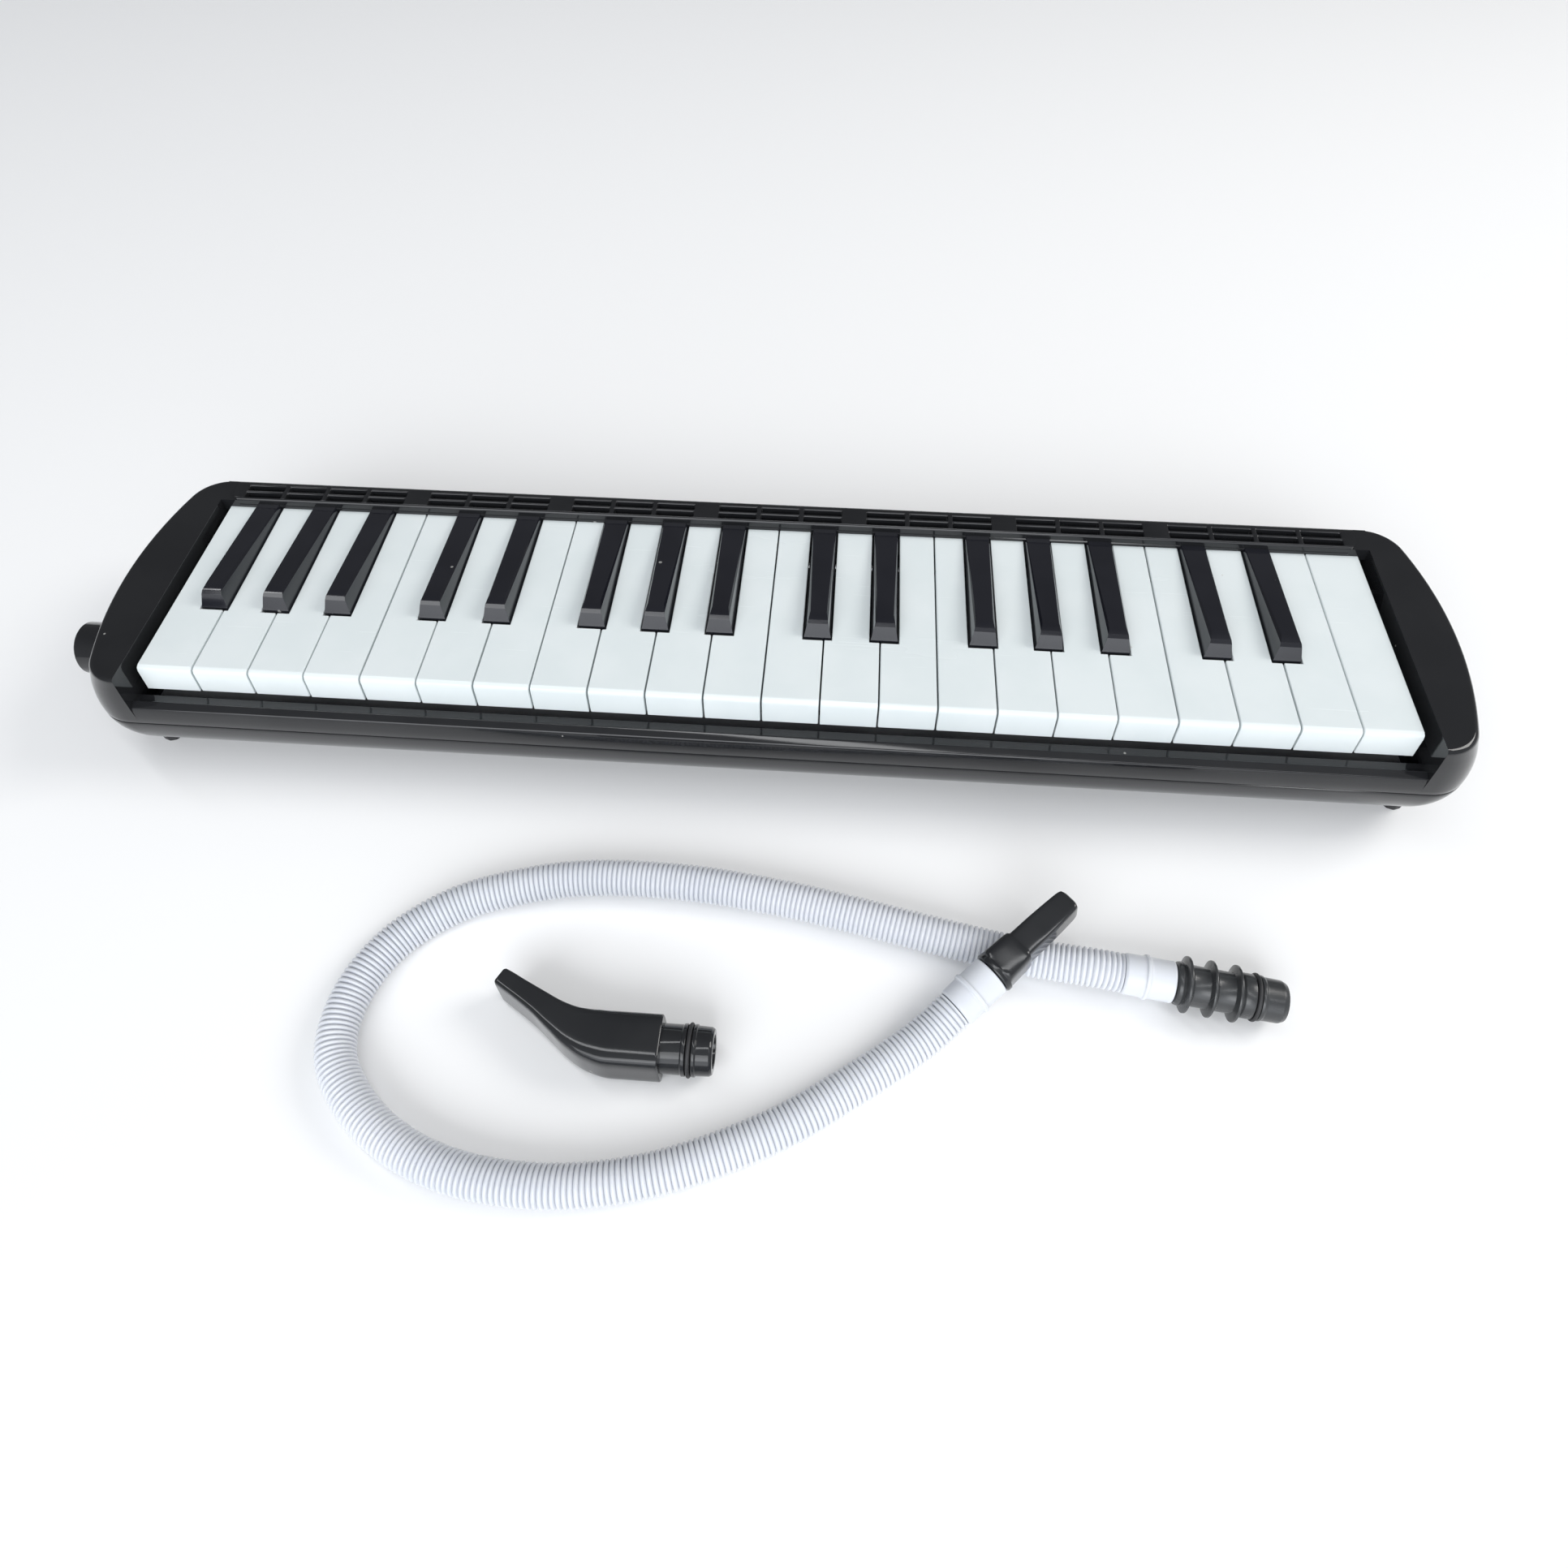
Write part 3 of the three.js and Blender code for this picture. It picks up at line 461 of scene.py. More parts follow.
base = {
    "fine": 2600.0, "broad": 45.0, "share": 0.5, "toneSpan": (0.35, 0.65),
    "dustScale": 260.0, "dustAmount": 0.03, "dustShow": 0.6, "dust": (0.42, 0.42, 0.4), "dustRough": 0.4,
    "smears": 0.05, "scratches": 0.1, "bump": 0.12, "bumpDepth": 0.05,
}
finishes = {
    "case_black": {
        **base, "color": (0.0125, 0.013, 0.0145), "tone": (0.015, 0.0155, 0.017), "roughness": 0.07,
        "dustAmount": 0.02, "bump": 0.05,
        "constants": {"IOR": 1.42, "Coat Weight": 0.15, "Coat Roughness": 0.04},
    },
    "key_white": {
        **base, "color": (0.73, 0.785, 0.79), "tone": (0.76, 0.81, 0.815), "roughness": 0.22,
        "dustAmount": 0.008, "dust": (0.5, 0.48, 0.44), "smears": 0.06, "scratches": 0.05, "bump": 0.1,
        "constants": {"IOR": 1.49, "Subsurface Weight": 0.06, "Subsurface Radius": (0.002, 0.002, 0.0022),
                      "Subsurface Scale": 0.5},
    },
    "key_black": {
        **base, "color": (0.0075, 0.008, 0.012), "tone": (0.01, 0.0105, 0.015), "roughness": 0.09,
        "bump": 0.05,
        "constants": {"IOR": 1.55, "Coat Weight": 0.2, "Coat Roughness": 0.05},
    },
    "mouthpiece_black": {
        **base, "color": (0.018, 0.019, 0.021), "tone": (0.022, 0.023, 0.025), "roughness": 0.1, "bump": 0.07,
        "handling": 1.6, "constants": {"IOR": 1.42, "Coat Weight": 0.1, "Coat Roughness": 0.05},
    },
    "inner_plastic": {
        **base, "color": (0.02, 0.021, 0.023), "tone": (0.027, 0.028, 0.03), "roughness": 0.42, "bump": 0.25,
    },
    "reed_brass": {
        **base, "color": (0.72, 0.5, 0.2), "tone": (0.55, 0.36, 0.14), "roughness": 0.3, "scratches": 0.3,
        "constants": {"Metallic": 1.0},
    },
    "spring_steel": {
        **base, "color": (0.6, 0.61, 0.62), "tone": (0.48, 0.49, 0.5), "roughness": 0.26, "scratches": 0.3,
        "constants": {"Metallic": 1.0},
    },
    "felt": {
        **base, "fine": 5200.0, "color": (0.07, 0.072, 0.08), "tone": (0.11, 0.112, 0.12), "roughness": 0.95,
        "bump": 0.9, "bumpDepth": 0.25, "constants": {"Sheen Weight": 0.4},
    },
    "rubber": {
        **base, "color": (0.018, 0.018, 0.02), "tone": (0.028, 0.028, 0.03), "roughness": 0.55, "bump": 0.3,
    },
    "connector_grey": {
        **base, "color": (0.032, 0.034, 0.036), "tone": (0.045, 0.047, 0.049), "roughness": 0.22,
        "bump": 0.25, "smears": 0.12, "dustAmount": 0.06,
    },
    "hose_white": {
        **base, "color": (0.65, 0.675, 0.72), "tone": (0.69, 0.71, 0.75), "roughness": 0.33, "broad": 28.0,
        # the grey colour and its strength are painted shade in the rib grooves
        "bump": 0.15, "dustAmount": 0.006, "paintedGrooveShadeColor": (0.4, 0.41, 0.46), "paintedGrooveShadeStrength": 0.34,
        "constants": {"IOR": 1.5, "Subsurface Weight": 0.15, "Subsurface Radius": (0.002, 0.002, 0.0025),
                      "Subsurface Scale": 0.8},
    },
}
materials = {slot: plastic(slot, s) for slot, s in finishes.items()}
print("finishes made:", len(materials))


# ---------- playing hose

hoseSettings = {
    "route": [
        (108.3, -65.2, 8.1), (100, -64.1, 8.1), (89, -62.3, 6.7), (76, -60, 5.75), (51, -55.1, 5.75),
        (30, -50.7, 5.75), (9, -46.9, 5.75), (-19, -43.8, 5.75), (-50, -44.3, 5.75), (-70, -48.6, 5.75),
        (-88.5, -56.4, 5.75), (-103.5, -70, 5.75), (-110.6, -86.5, 5.75), (-109.6, -103.2, 5.75),
        (-99, -117, 5.75), (-84, -126.6, 5.75), (-67.6, -131.6, 5.75), (-50, -133.1, 5.75),
        (-33.4, -131.8, 5.75), (-16.8, -127.9, 5.75), (-0.2, -121.5, 5.75), (16, -113.3, 5.8),
        (31, -103.4, 6.1), (44, -94.2, 6.9),
        (53.2, -87, 8.2), (60.2, -80.6, 10.6),
    ],
    "radius": 5.6,
    "grooveDepth": 0.85,
    "grooveShape": 1.4,
    # power of the painted shade mask in the rib grooves
    "paintedGrooveShadePower": 2.4,
    "curveSteps": 40,
    "ribPitch": 1.5,
    "ringsPerRib": 6,
    "sides": 28,
    "joint": 0.3,
    "cuffLength": 14.0,
}


def centripetal(points, samples):
    # between two points a cubic with end slopes from the neighbours, spaced by the root of their distance
    p = np.asarray(points, float)
    p = np.vstack([2 * p[0] - p[1], p, 2 * p[-1] - p[-2]])
    gap = np.sqrt(np.linalg.norm(np.diff(p, axis=0), axis=1))
    d0, d1, d2 = gap[:-2, None], gap[1:-1, None], gap[2:, None]
    a, b, c, d = p[:-3], p[1:-2], p[2:-1], p[3:]
    slopeB = ((b - a) / d0 - (c - a) / (d0 + d1) + (c - b) / d1) * d1
    slopeC = ((c - b) / d1 - (d - b) / (d1 + d2) + (d - c) / d2) * d1
    t = np.linspace(0, 1, samples, endpoint=False)[None, :, None]
    b, c, slopeB, slopeC = (v[:, None, :] for v in (b, c, slopeB, slopeC))
    curve = ((2 * t**3 - 3 * t**2 + 1) * b + (t**3 - 2 * t**2 + t) * slopeB
             + (3 * t**2 - 2 * t**3) * c + (t**3 - t**2) * slopeC)
    return np.vstack([curve.reshape(-1, 3), p[-2]])


def evenly(curve, count):
    # the same line with points an equal length apart
    along = np.concatenate([[0], np.cumsum(np.linalg.norm(np.diff(curve, axis=0), axis=1))])
    where = np.linspace(0, along[-1], count)
    return np.stack([np.interp(where, along, curve[:, k]) for k in range(3)], -1), along[-1]


def tubeRings(line, radii, sides):
    # ring = line point + radius * (cos a * side + sin a * up), with side = Z x heading
    heading = unit(np.gradient(line, axis=0))
    side = unit(np.cross([0.0, 0.0, 1.0], heading))
    up = np.cross(heading, side)
    a = np.linspace(0, 2 * math.pi, sides, endpoint=False)
    circle = np.cos(a)[None, :, None] * side[:, None, :] + np.sin(a)[None, :, None] * up[:, None, :]
    return line[:, None, :] + radii[:, None, None] * circle


def makeHose(s):
    # radius = crest - depth * g ^ shape, with g = 1 - |cos(pi * distance / pitch)|, has broad crests and
    # narrow grooves; g ^ power is kept on the mesh as the groove attribute, where the finish paints shade
    # into the grooves with it
    fine = centripetal(s["route"], s["curveSteps"])
    _, length = evenly(fine, 2)
    ribs = round(length / s["ribPitch"])
    line, _ = evenly(fine, ribs * s["ringsPerRib"] + 1)
    wave = np.abs(np.cos(np.pi * np.linspace(0, ribs, len(line))))
    radii = s["radius"] - s["grooveDepth"] * (1 - wave) ** s["grooveShape"]
    tube = skinRings("hose_tube_ribbed", tubeRings(line, radii, s["sides"]), sharpAngle=80)
    groove = tube.data.attributes.new("groove", "FLOAT", "POINT")
    # painted shade mask: 1 at the bottom of each groove, 0 on the crests
    tone = np.repeat((1 - wave) ** s["paintedGrooveShadePower"], s["sides"])
    groove.data.foreach_set("value", tone.astype(np.float32))
    place(tube, "hose", "hose_tube", materials["hose_white"])
    return tube, line, length


hoseTube, hoseLine, hoseLength = makeHose(hoseSettings)
print("hose tube:", round(hoseLength, 1), "mm long")

plugAim = unit(hoseLine[0] - hoseLine[1])
tipAim = unit(hoseLine[-1] - hoseLine[-2])


def onward(point, aim, distance):
    # point + distance * aim
    return np.asarray(point) + distance * aim


cuffSettings = {
    # distance along the cuff, radius
    "profile": [
        (0, 0.01), (0, 5.35), (0.7, 5.8), (5.2, 5.85), (5.7, 6.0), (5.9, 6.4), (6.8, 6.4), (7.0, 6.0),
        (7.5, 5.85), (13.0, 5.85), (13.6, 5.95), (14.0, 5.7), (14.0, 0.01),
    ],
    "edge": 0.3,
}


def cuff(name, node, start, aim):
    # turned sleeve: a lip by the first rib, one raised ring, a plain collar with a small end roll
    piece = turnedPiece(name, softCorners(cuffSettings["profile"], cuffSettings["edge"]), start, aim)
    return place(piece, "hose", node, materials["hose_white"])


joint = hoseSettings["joint"]
plugStart = onward(hoseLine[0], plugAim, joint)
tipStart = onward(hoseLine[-1], tipAim, joint)
plugCuff = cuff("hose_connector_cuff_moulded", "hose_connector_cuff", plugStart, plugAim)
tipCuff = cuff("hose_mouthpiece_cuff_moulded", "hose_mouthpiece_cuff", tipStart, tipAim)

connectorSettings = {
    "flanges": (3.2, 9.8, 16.6),
    "flangeRadius": 8.0,
    "coreRadius": 5.6,
    "bodyRadius": 6.3,
    "length": 30.0,
    "bore": 3.6,
    "edge": 0.22,
    "sealAt": 21.9,
    "sealRadius": 6.2,
}


def makeConnector(s):
    # three thin flanges on a core, a plain body with the seal groove, and a blunt tip with a bore
    core, body = s["coreRadius"], s["bodyRadius"]
    profile = [(0, 0.01), (0, core - 0.3), (0.4, core + 0.4), (1.4, core + 0.6)]
    for at in s["flanges"]:
        profile += [(at - 0.9, core + 0.1), (at - 0.45, s["flangeRadius"]), (at + 0.25, s["flangeRadius"]),
                    (at + 1.2, core + 0.2)]
    profile += [(18.2, body), (21.1, body), (21.1, body - 1), (22.7, body - 1), (22.7, body + 0.05),
                (23.6, body + 0.05), (24.0, body - 0.25), (28.6, body - 0.35), (s["length"], body - 1.0),
                (s["length"], s["bore"]), (20.0, s["bore"]), (20.0, 0.01)]
    start = onward(plugStart, plugAim, hoseSettings["cuffLength"] + joint)
    piece = turnedPiece("hose_connector_moulded", softCorners(profile, s["edge"], 2), start, plugAim, 72)
    return place(piece, "hose", "hose_connector", materials["connector_grey"]), start


sealSettings = {"sectionRadius": 0.6, "sectionSides": 16}


def sealRing(name, node, body, radius, middle, aim):
    # a closed ring of round section: (thick * cos a, radius + thick * sin a), turned about the aim
    thick = sealSettings["sectionRadius"]
    turn = np.linspace(0, 2 * math.pi, sealSettings["sectionSides"], endpoint=False)
    section = np.stack([thick * np.cos(turn), radius + thick * np.sin(turn)], -1)
    piece = turnedPiece(name, section, middle, aim, closed=True, sharpAngle=80)
    return place(piece, body, node, materials["rubber"])


connector, connectorStart = makeConnector(connectorSettings)
sealMiddle = onward(connectorStart, plugAim, connectorSettings["sealAt"])
connectorSeal = sealRing("connector_o_ring_round", "connector_o_ring", "hose",
                         connectorSettings["sealRadius"], sealMiddle, plugAim)


# ---------- mouthpieces

def mouthpieceRings(stations, count, rings):
    # stations (x, y, z, half thickness, half width, power) are joined by cubics whose slope is the harmonic
    # mean of the two secants, so nothing swells between them; each ring is a superellipse:
    # thickness * sign(cos a) |cos a|^(2/power) across, width * sign(sin a) |sin a|^(2/power) up
    st = np.asarray(stations, float)
    apart = np.linalg.norm(np.diff(st[:, :3], axis=0), axis=1)
    key = np.concatenate([[0], np.cumsum(np.maximum(apart, 1e-3))])
    where = np.linspace(0, key[-1], rings)
    where = np.unique(np.concatenate([where, key]))
    secant = np.diff(st, axis=0) / np.diff(key)[:, None]
    both = secant[:-1] * secant[1:]
    middle = np.where(both > 0, 2 * both / np.where(both > 0, secant[:-1] + secant[1:], 1), 0)
    slope = np.vstack([secant[:1], middle, secant[-1:]])
    i = np.clip(np.searchsorted(key, where, side="right") - 1, 0, len(key) - 2)
    h = (key[i + 1] - key[i])[:, None]
    t = ((where - key[i])[:, None]) / h
    v = ((2 * t**3 - 3 * t**2 + 1) * st[i] + (t**3 - 2 * t**2 + t) * h * slope[i]
         + (3 * t**2 - 2 * t**3) * st[i + 1] + (t**3 - t**2) * h * slope[i + 1])
    heading = unit(np.gradient(v[:, :3], where, axis=0))
    across = unit(np.stack([-heading[:, 1], heading[:, 0], np.zeros(len(heading))], -1))
    up = unit(np.cross(heading, across))
    a = np.linspace(0, 2 * math.pi, count, endpoint=False) + math.pi / count
    power = 2 / v[:, 5, None]
    wide = np.sign(np.cos(a)) * np.abs(np.cos(a)) ** power * v[:, 3, None]
    tall = np.sign(np.sin(a)) * np.abs(np.sin(a)) ** power * v[:, 4, None]
    return v[:, None, :3] + wide[..., None] * across[:, None, :] + tall[..., None] * up[:, None, :]


shortSettings = {
    "axisY": -96.2,
    "axisZ": 7.9,
    "spigotStart": -19.4,
    "skin": [
        (-19.4, -96.2, 7.9, 7.5, 7.5, 5.0), (-19.7, -96.2, 7.9, 7.75, 7.75, 5.0),
        (-33, -96.2, 7.9, 7.7, 7.75, 5.2), (-38, -95.6, 7.9, 7.1, 7.7, 6.0),
        (-43, -94.2, 7.9, 5.85, 7.65, 7.5), (-48.5, -91.6, 7.9, 4.4, 7.6, 9.0),
        (-54.5, -88, 7.9, 3.45, 7.4, 10.0), (-61, -84.3, 7.9, 2.95, 7.05, 10.0),
        (-66.8, -81.1, 7.9, 2.65, 6.7, 9.0), (-67.2, -80.9, 7.9, 2.4, 6.45, 8.0),
    ],
    "air": [
        (-52, -89.5, 7.9, 1.7, 5.0, 3.4), (-60, -84.9, 7.9, 1.3, 5.0, 3.4), (-74, -77.2, 7.9, 1.0, 4.7, 3.4),
    ],
    # distance along the spigot, radius
    "spigot": [
        (-0.6, 0.01), (-0.6, 6.7), (5.6, 6.7), (5.8, 7.0), (6.7, 7.0), (6.9, 6.8), (6.9, 5.9), (8.5, 5.9),
        (8.5, 6.8), (8.7, 7.0), (9.5, 7.0), (9.7, 6.65), (13.4, 6.5), (14.2, 6.0), (14.2, 4.5), (0.5, 4.5),
        (0.5, 0.01),
    ],
    "edge": 0.15,
    "sealAt": 7.7,
    "sealRadius": 6.75,
}


def makeShortMouthpiece(s):
    # the bent skin, joined to a turned spigot with a seal groove, with the breath way cut in from the tip
    piece = skinRings("short_mouthpiece_moulded", mouthpieceRings(s["skin"], 72, 72), sharpAngle=50)
    start = (s["spigotStart"], s["axisY"], s["axisZ"])
    spigot = turnedPiece("spigot", softCorners(s["spigot"], s["edge"], 2), start, (1, 0, 0), 72)
    air = skinRings("air", mouthpieceRings(s["air"], 40, 16))
    combine(piece, [spigot], "UNION")
    combine(piece, [air], "DIFFERENCE")
    finishMesh(piece, 42)
    place(piece, "short_mouthpiece", "short_mouthpiece", materials["mouthpiece_black"])
    sealRing("short_mouthpiece_o_ring_round", "short_mouthpiece_o_ring", "short_mouthpiece", s["sealRadius"],
             (s["spigotStart"] + s["sealAt"], s["axisY"], s["axisZ"]), (1, 0, 0))


makeShortMouthpiece(shortSettings)

hoseMouthSettings = {
    "stations": [
        (0, 5.9, 5.9, 2.0), (0.4, 6.2, 6.2, 2.0), (1.5, 6.2, 6.2, 2.0), (1.9, 5.6, 5.85, 3.4),
        (3.0, 5.45, 5.8, 4.6), (9.6, 5.0, 5.7, 5.5), (10.4, 4.8, 5.6, 5.5), (10.9, 4.15, 5.35, 7.5),
        (18.0, 4.0, 5.25, 9.0),
        (28.4, 3.55, 5.0, 9.0), (29.9, 3.3, 4.75, 7.0), (30.5, 2.6, 4.1, 5.0),
    ],
    "air": [(16.0, 1.0, 3.1, 3.0), (26.0, 0.9, 3.3, 3.0), (34.0, 0.9, 3.3, 3.0)],
}


def makeHoseMouthpiece(s):
    # stations are set out along the cuff's axis: (distance, half thickness, half width, power)
    start = onward(tipStart, tipAim, hoseSettings["cuffLength"] + joint)

    def along(rows):
        return [(*onward(start, tipAim, d), thick, wide, power) for d, thick, wide, power in rows]

    piece = skinRings("hose_mouthpiece_moulded", mouthpieceRings(along(s["stations"]), 64, 60), sharpAngle=50)
    air = skinRings("air", mouthpieceRings(along(s["air"]), 32, 12))
    combine(piece, [air], "DIFFERENCE")
    finishMesh(piece, 42)
    return place(piece, "hose", "hose_mouthpiece", materials["mouthpiece_black"])


hoseMouthpiece = makeHoseMouthpiece(hoseMouthSettings)
print("hose fittings and mouthpieces made")


# ---------- case

caseSettings = {
    "half": 218.6,
    "front": -8.5,
    "rear": 89.2,
    "endRadius": 133.0,
    "corner": 13.0,
    "seamHalf": 219.7,
    "seamEndRadius": 400.0,
    "seamCorner": 14.5,
    "bottom": 4.5,
    "split": 24.0,
    "seam": 0.15,
    "top": 44.0,
    "belly": 17.8,
    "wall": 2.2,
    "wellHalf": 200.3,
    "wellFront": -20.0,
    "cheekDepth": 2.0,
    "railFront": 77.3,
    "railTop": 45.0,
    "railHalf": 196.5,
    "railUnder": 42.2,
    "railEnd": 5.5,
    "lipUnder": 39.4,
    "socket": (18.2, 28.8),
    "socketTip": 227.5,
    "socketHole": 9.0,
    "button": (40.0, 15.0),
    "buttonHole": 4.9,
    "rod": (66.0, 34.5),
    "rodHole": 1.65,
    "slotGroups": (4, 3, 3, 3, 3, 3, 4),
    "slotPitch": 14.9,
    "slotLength": 13.2,
    "groupGap": 7.1,
    "slotRows": ((78.3, 80.9), (82.0, 84.4)),
    "slotCorner": 0.5,
    # how much wider the slot is, and how far below the rail's top
    "slotMouth": ((0.0, 0.5), (0.06, 0.28), (0.2, 0.12), (0.48, 0.0), (0.48, -1.0)),
    "screwX": 70.0,
    "screwRows": (22.0, 60.0),
    # distance up from the start height, radius
    "boss": [(0, 4.2), (7.3, 3.6)],
    "bossStart": 5.5,
    "recess": [(0, 3.6), (0.9, 3.2), (1.9, 3.2)],
    "recessStart": 4.0,
}
case = caseSettings


def caseRing(inset, z, steps=14):
    # ends on an arc of large radius, and round corners tangent to it and to the straight sides, all drawn in
    # by the inset; from the top to the parting line the ends grow fuller by the sine of the depth
    full = math.sin(math.pi / 2 * min(max((case["top"] - z) / (case["top"] - case["split"]), 0), 1))
    half = case["half"] + full * (case["seamHalf"] - case["half"]) - inset
    front, rear = case["front"] + inset, case["rear"] - inset
    corner = case["corner"] + full * (case["seamCorner"] - case["corner"]) - 0.5 * inset
    endRadius = 1 / ((1 - full) / case["endRadius"] + full / case["seamEndRadius"])
    middle, bow = (front + rear) / 2, half - endRadius
    drop = middle - front - corner
    cornerX = bow + math.sqrt((endRadius - corner) ** 2 - drop ** 2)
    lean = math.degrees(math.atan2(drop, cornerX - bow))
    right = np.concatenate([
        arc((cornerX, front + corner), corner, -90, -lean, steps),
        arc((bow, middle), endRadius, -lean, lean, 2 * steps)[1:-1],
        arc((cornerX, rear - corner), corner, lean, 90, steps),
    ])
    outline = np.concatenate([right, (right * (-1, 1))[::-1]])
    return np.column_stack([outline, np.full(len(outline), z)])


def barX(name, low, high, y, z, radius, segments=48):
    # a round bar along X
    return turnedPiece(name, [(0, radius), (high - low, radius)], (low, y, z), (1, 0, 0), segments)


def block(name, x0, x1, y0, y1, z0, z1):
    return extruded(name, [(x0, y0), (x1, y0), (x1, y1), (x0, y1)], 2, z0, z1)


def bellyRings(thick, steps):
    # quarter ellipse: inset = thick + (belly - thick)(1 - cos u), height = seam line - depth * sin u
    depth = case["split"] - case["bottom"] - case["seam"]
    turns = np.linspace(math.pi / 2, 0, steps + 1)
    return [caseRing(thick + (case["belly"] - thick) * (1 - math.cos(u)),
                     case["split"] - case["seam"] - (depth - thick) * math.sin(u)) for u in turns]


def makeLowerCase():
    # bowl between two bellies, a fine round at the parting line, bosses and screw recesses, and the two
    # half holes for the socket and the button
    outer = bellyRings(0, 22)[:-1]
    top = case["split"] - case["seam"]
    outer += [caseRing(0.0, top - 0.35), caseRing(0.06, top - 0.12), caseRing(0.25, top)]
    piece = skinRings("lower_case_moulded", outer)
    inner = skinRings("inner", bellyRings(case["wall"], 12) + [caseRing(case["wall"], case["split"] + 1)])
    combine(piece, [inner], "DIFFERENCE")
    up = (0, 0, 1)
    bosses, holes = [], []
    for x in (-case["screwX"], case["screwX"]):
        for y in case["screwRows"]:
            bosses.append(turnedPiece("boss", case["boss"], (x, y, case["bossStart"]), up, 32))
            holes.append(turnedPiece("recess", case["recess"], (x, y, case["recessStart"]), up, 40))
    combine(piece, bosses, "UNION")
    half = case["half"]
    holes.append(barX("socketHole", -half - 5, -half + 9, *case["socket"], case["socketHole"], 64))
    holes.append(barX("buttonHole", half - 12, half + 5, *case["button"], case["buttonHole"]))
    combine(piece, holes, "DIFFERENCE")
    finishMesh(piece, 30)
    return place(piece, "case", "lower_case", materials["case_black"])


def slotTools():
    # each slot is cut by a prism with a widened mouth, straight below it; x steps along the groups
    s = case
    total = sum(s["slotGroups"]) * s["slotPitch"] + s["groupGap"] * (len(s["slotGroups"]) - 1)
    x = (s["slotPitch"] - s["slotLength"] - total) / 2
    tools = []
    levels = [(0.0, s["railUnder"] - 2)] + [(grow, s["railTop"] - down) for grow, down in s["slotMouth"]]
    for count in s["slotGroups"]:
        for _ in range(count):
            for y0, y1 in s["slotRows"]:
                rings = []
                for grow, z in levels:
                    a, b, c, d = x - grow, x + s["slotLength"] + grow, y0 - grow, y1 + grow
                    outline = softCorners([(a, c), (b, c), (b, d), (a, d)], s["slotCorner"], 3, closed=True)
                    rings.append(np.column_stack([outline, np.full(len(outline), z)]))
                tools.append(skinRings("slot", rings))
            x += s["slotPitch"]
        x += s["groupGap"]
    return tools


def makeRail():
    # section carried along X: lip over the keys, a groove, the rounded plateau edge, the sloping rear edge;
    # its ends are cut round by the plan outline
    s = case
    under, lipUnder = s["railUnder"], s["lipUnder"]
    inside = [(87.4, under), (78.0, under), (78.0, lipUnder)]
    front = s["railFront"]
    section = [(front, lipUnder), (front, 41.5), (front - 0.3, 41.75), (front - 0.3, 42.2), (front, 42.4)]
    section += arc((front + 1.1, s["railTop"] - 1.1), 1.1, 180, 90, 8).tolist()
    section += [(85.4, s["railTop"]), (86.2, 44.85), (87.2, 44.0), *inside]
    rail = extruded("rail", section, 0, -s["railHalf"], s["railHalf"])
    end, turnY = s["railEnd"], front - 1 + s["railEnd"]
    plan = np.concatenate([
        arc((s["railHalf"] - end, turnY), end, -90, 0, 12), [(s["railHalf"], 95), (-s["railHalf"], 95)],
        arc((-s["railHalf"] + end, turnY), end, -180, -90, 12),
    ])
    combine(rail, [extruded("plan", plan, 2, 30, 50)], "INTERSECT")
    low = [(front, lipUnder), (front, 43.0), (front + 0.25, 43.6), (front + 0.8, s["top"]), (87.3, s["top"]),
           *inside]
    return rail, extruded("railBase", low, 0, -s["wellHalf"] - 1, s["wellHalf"] + 1)


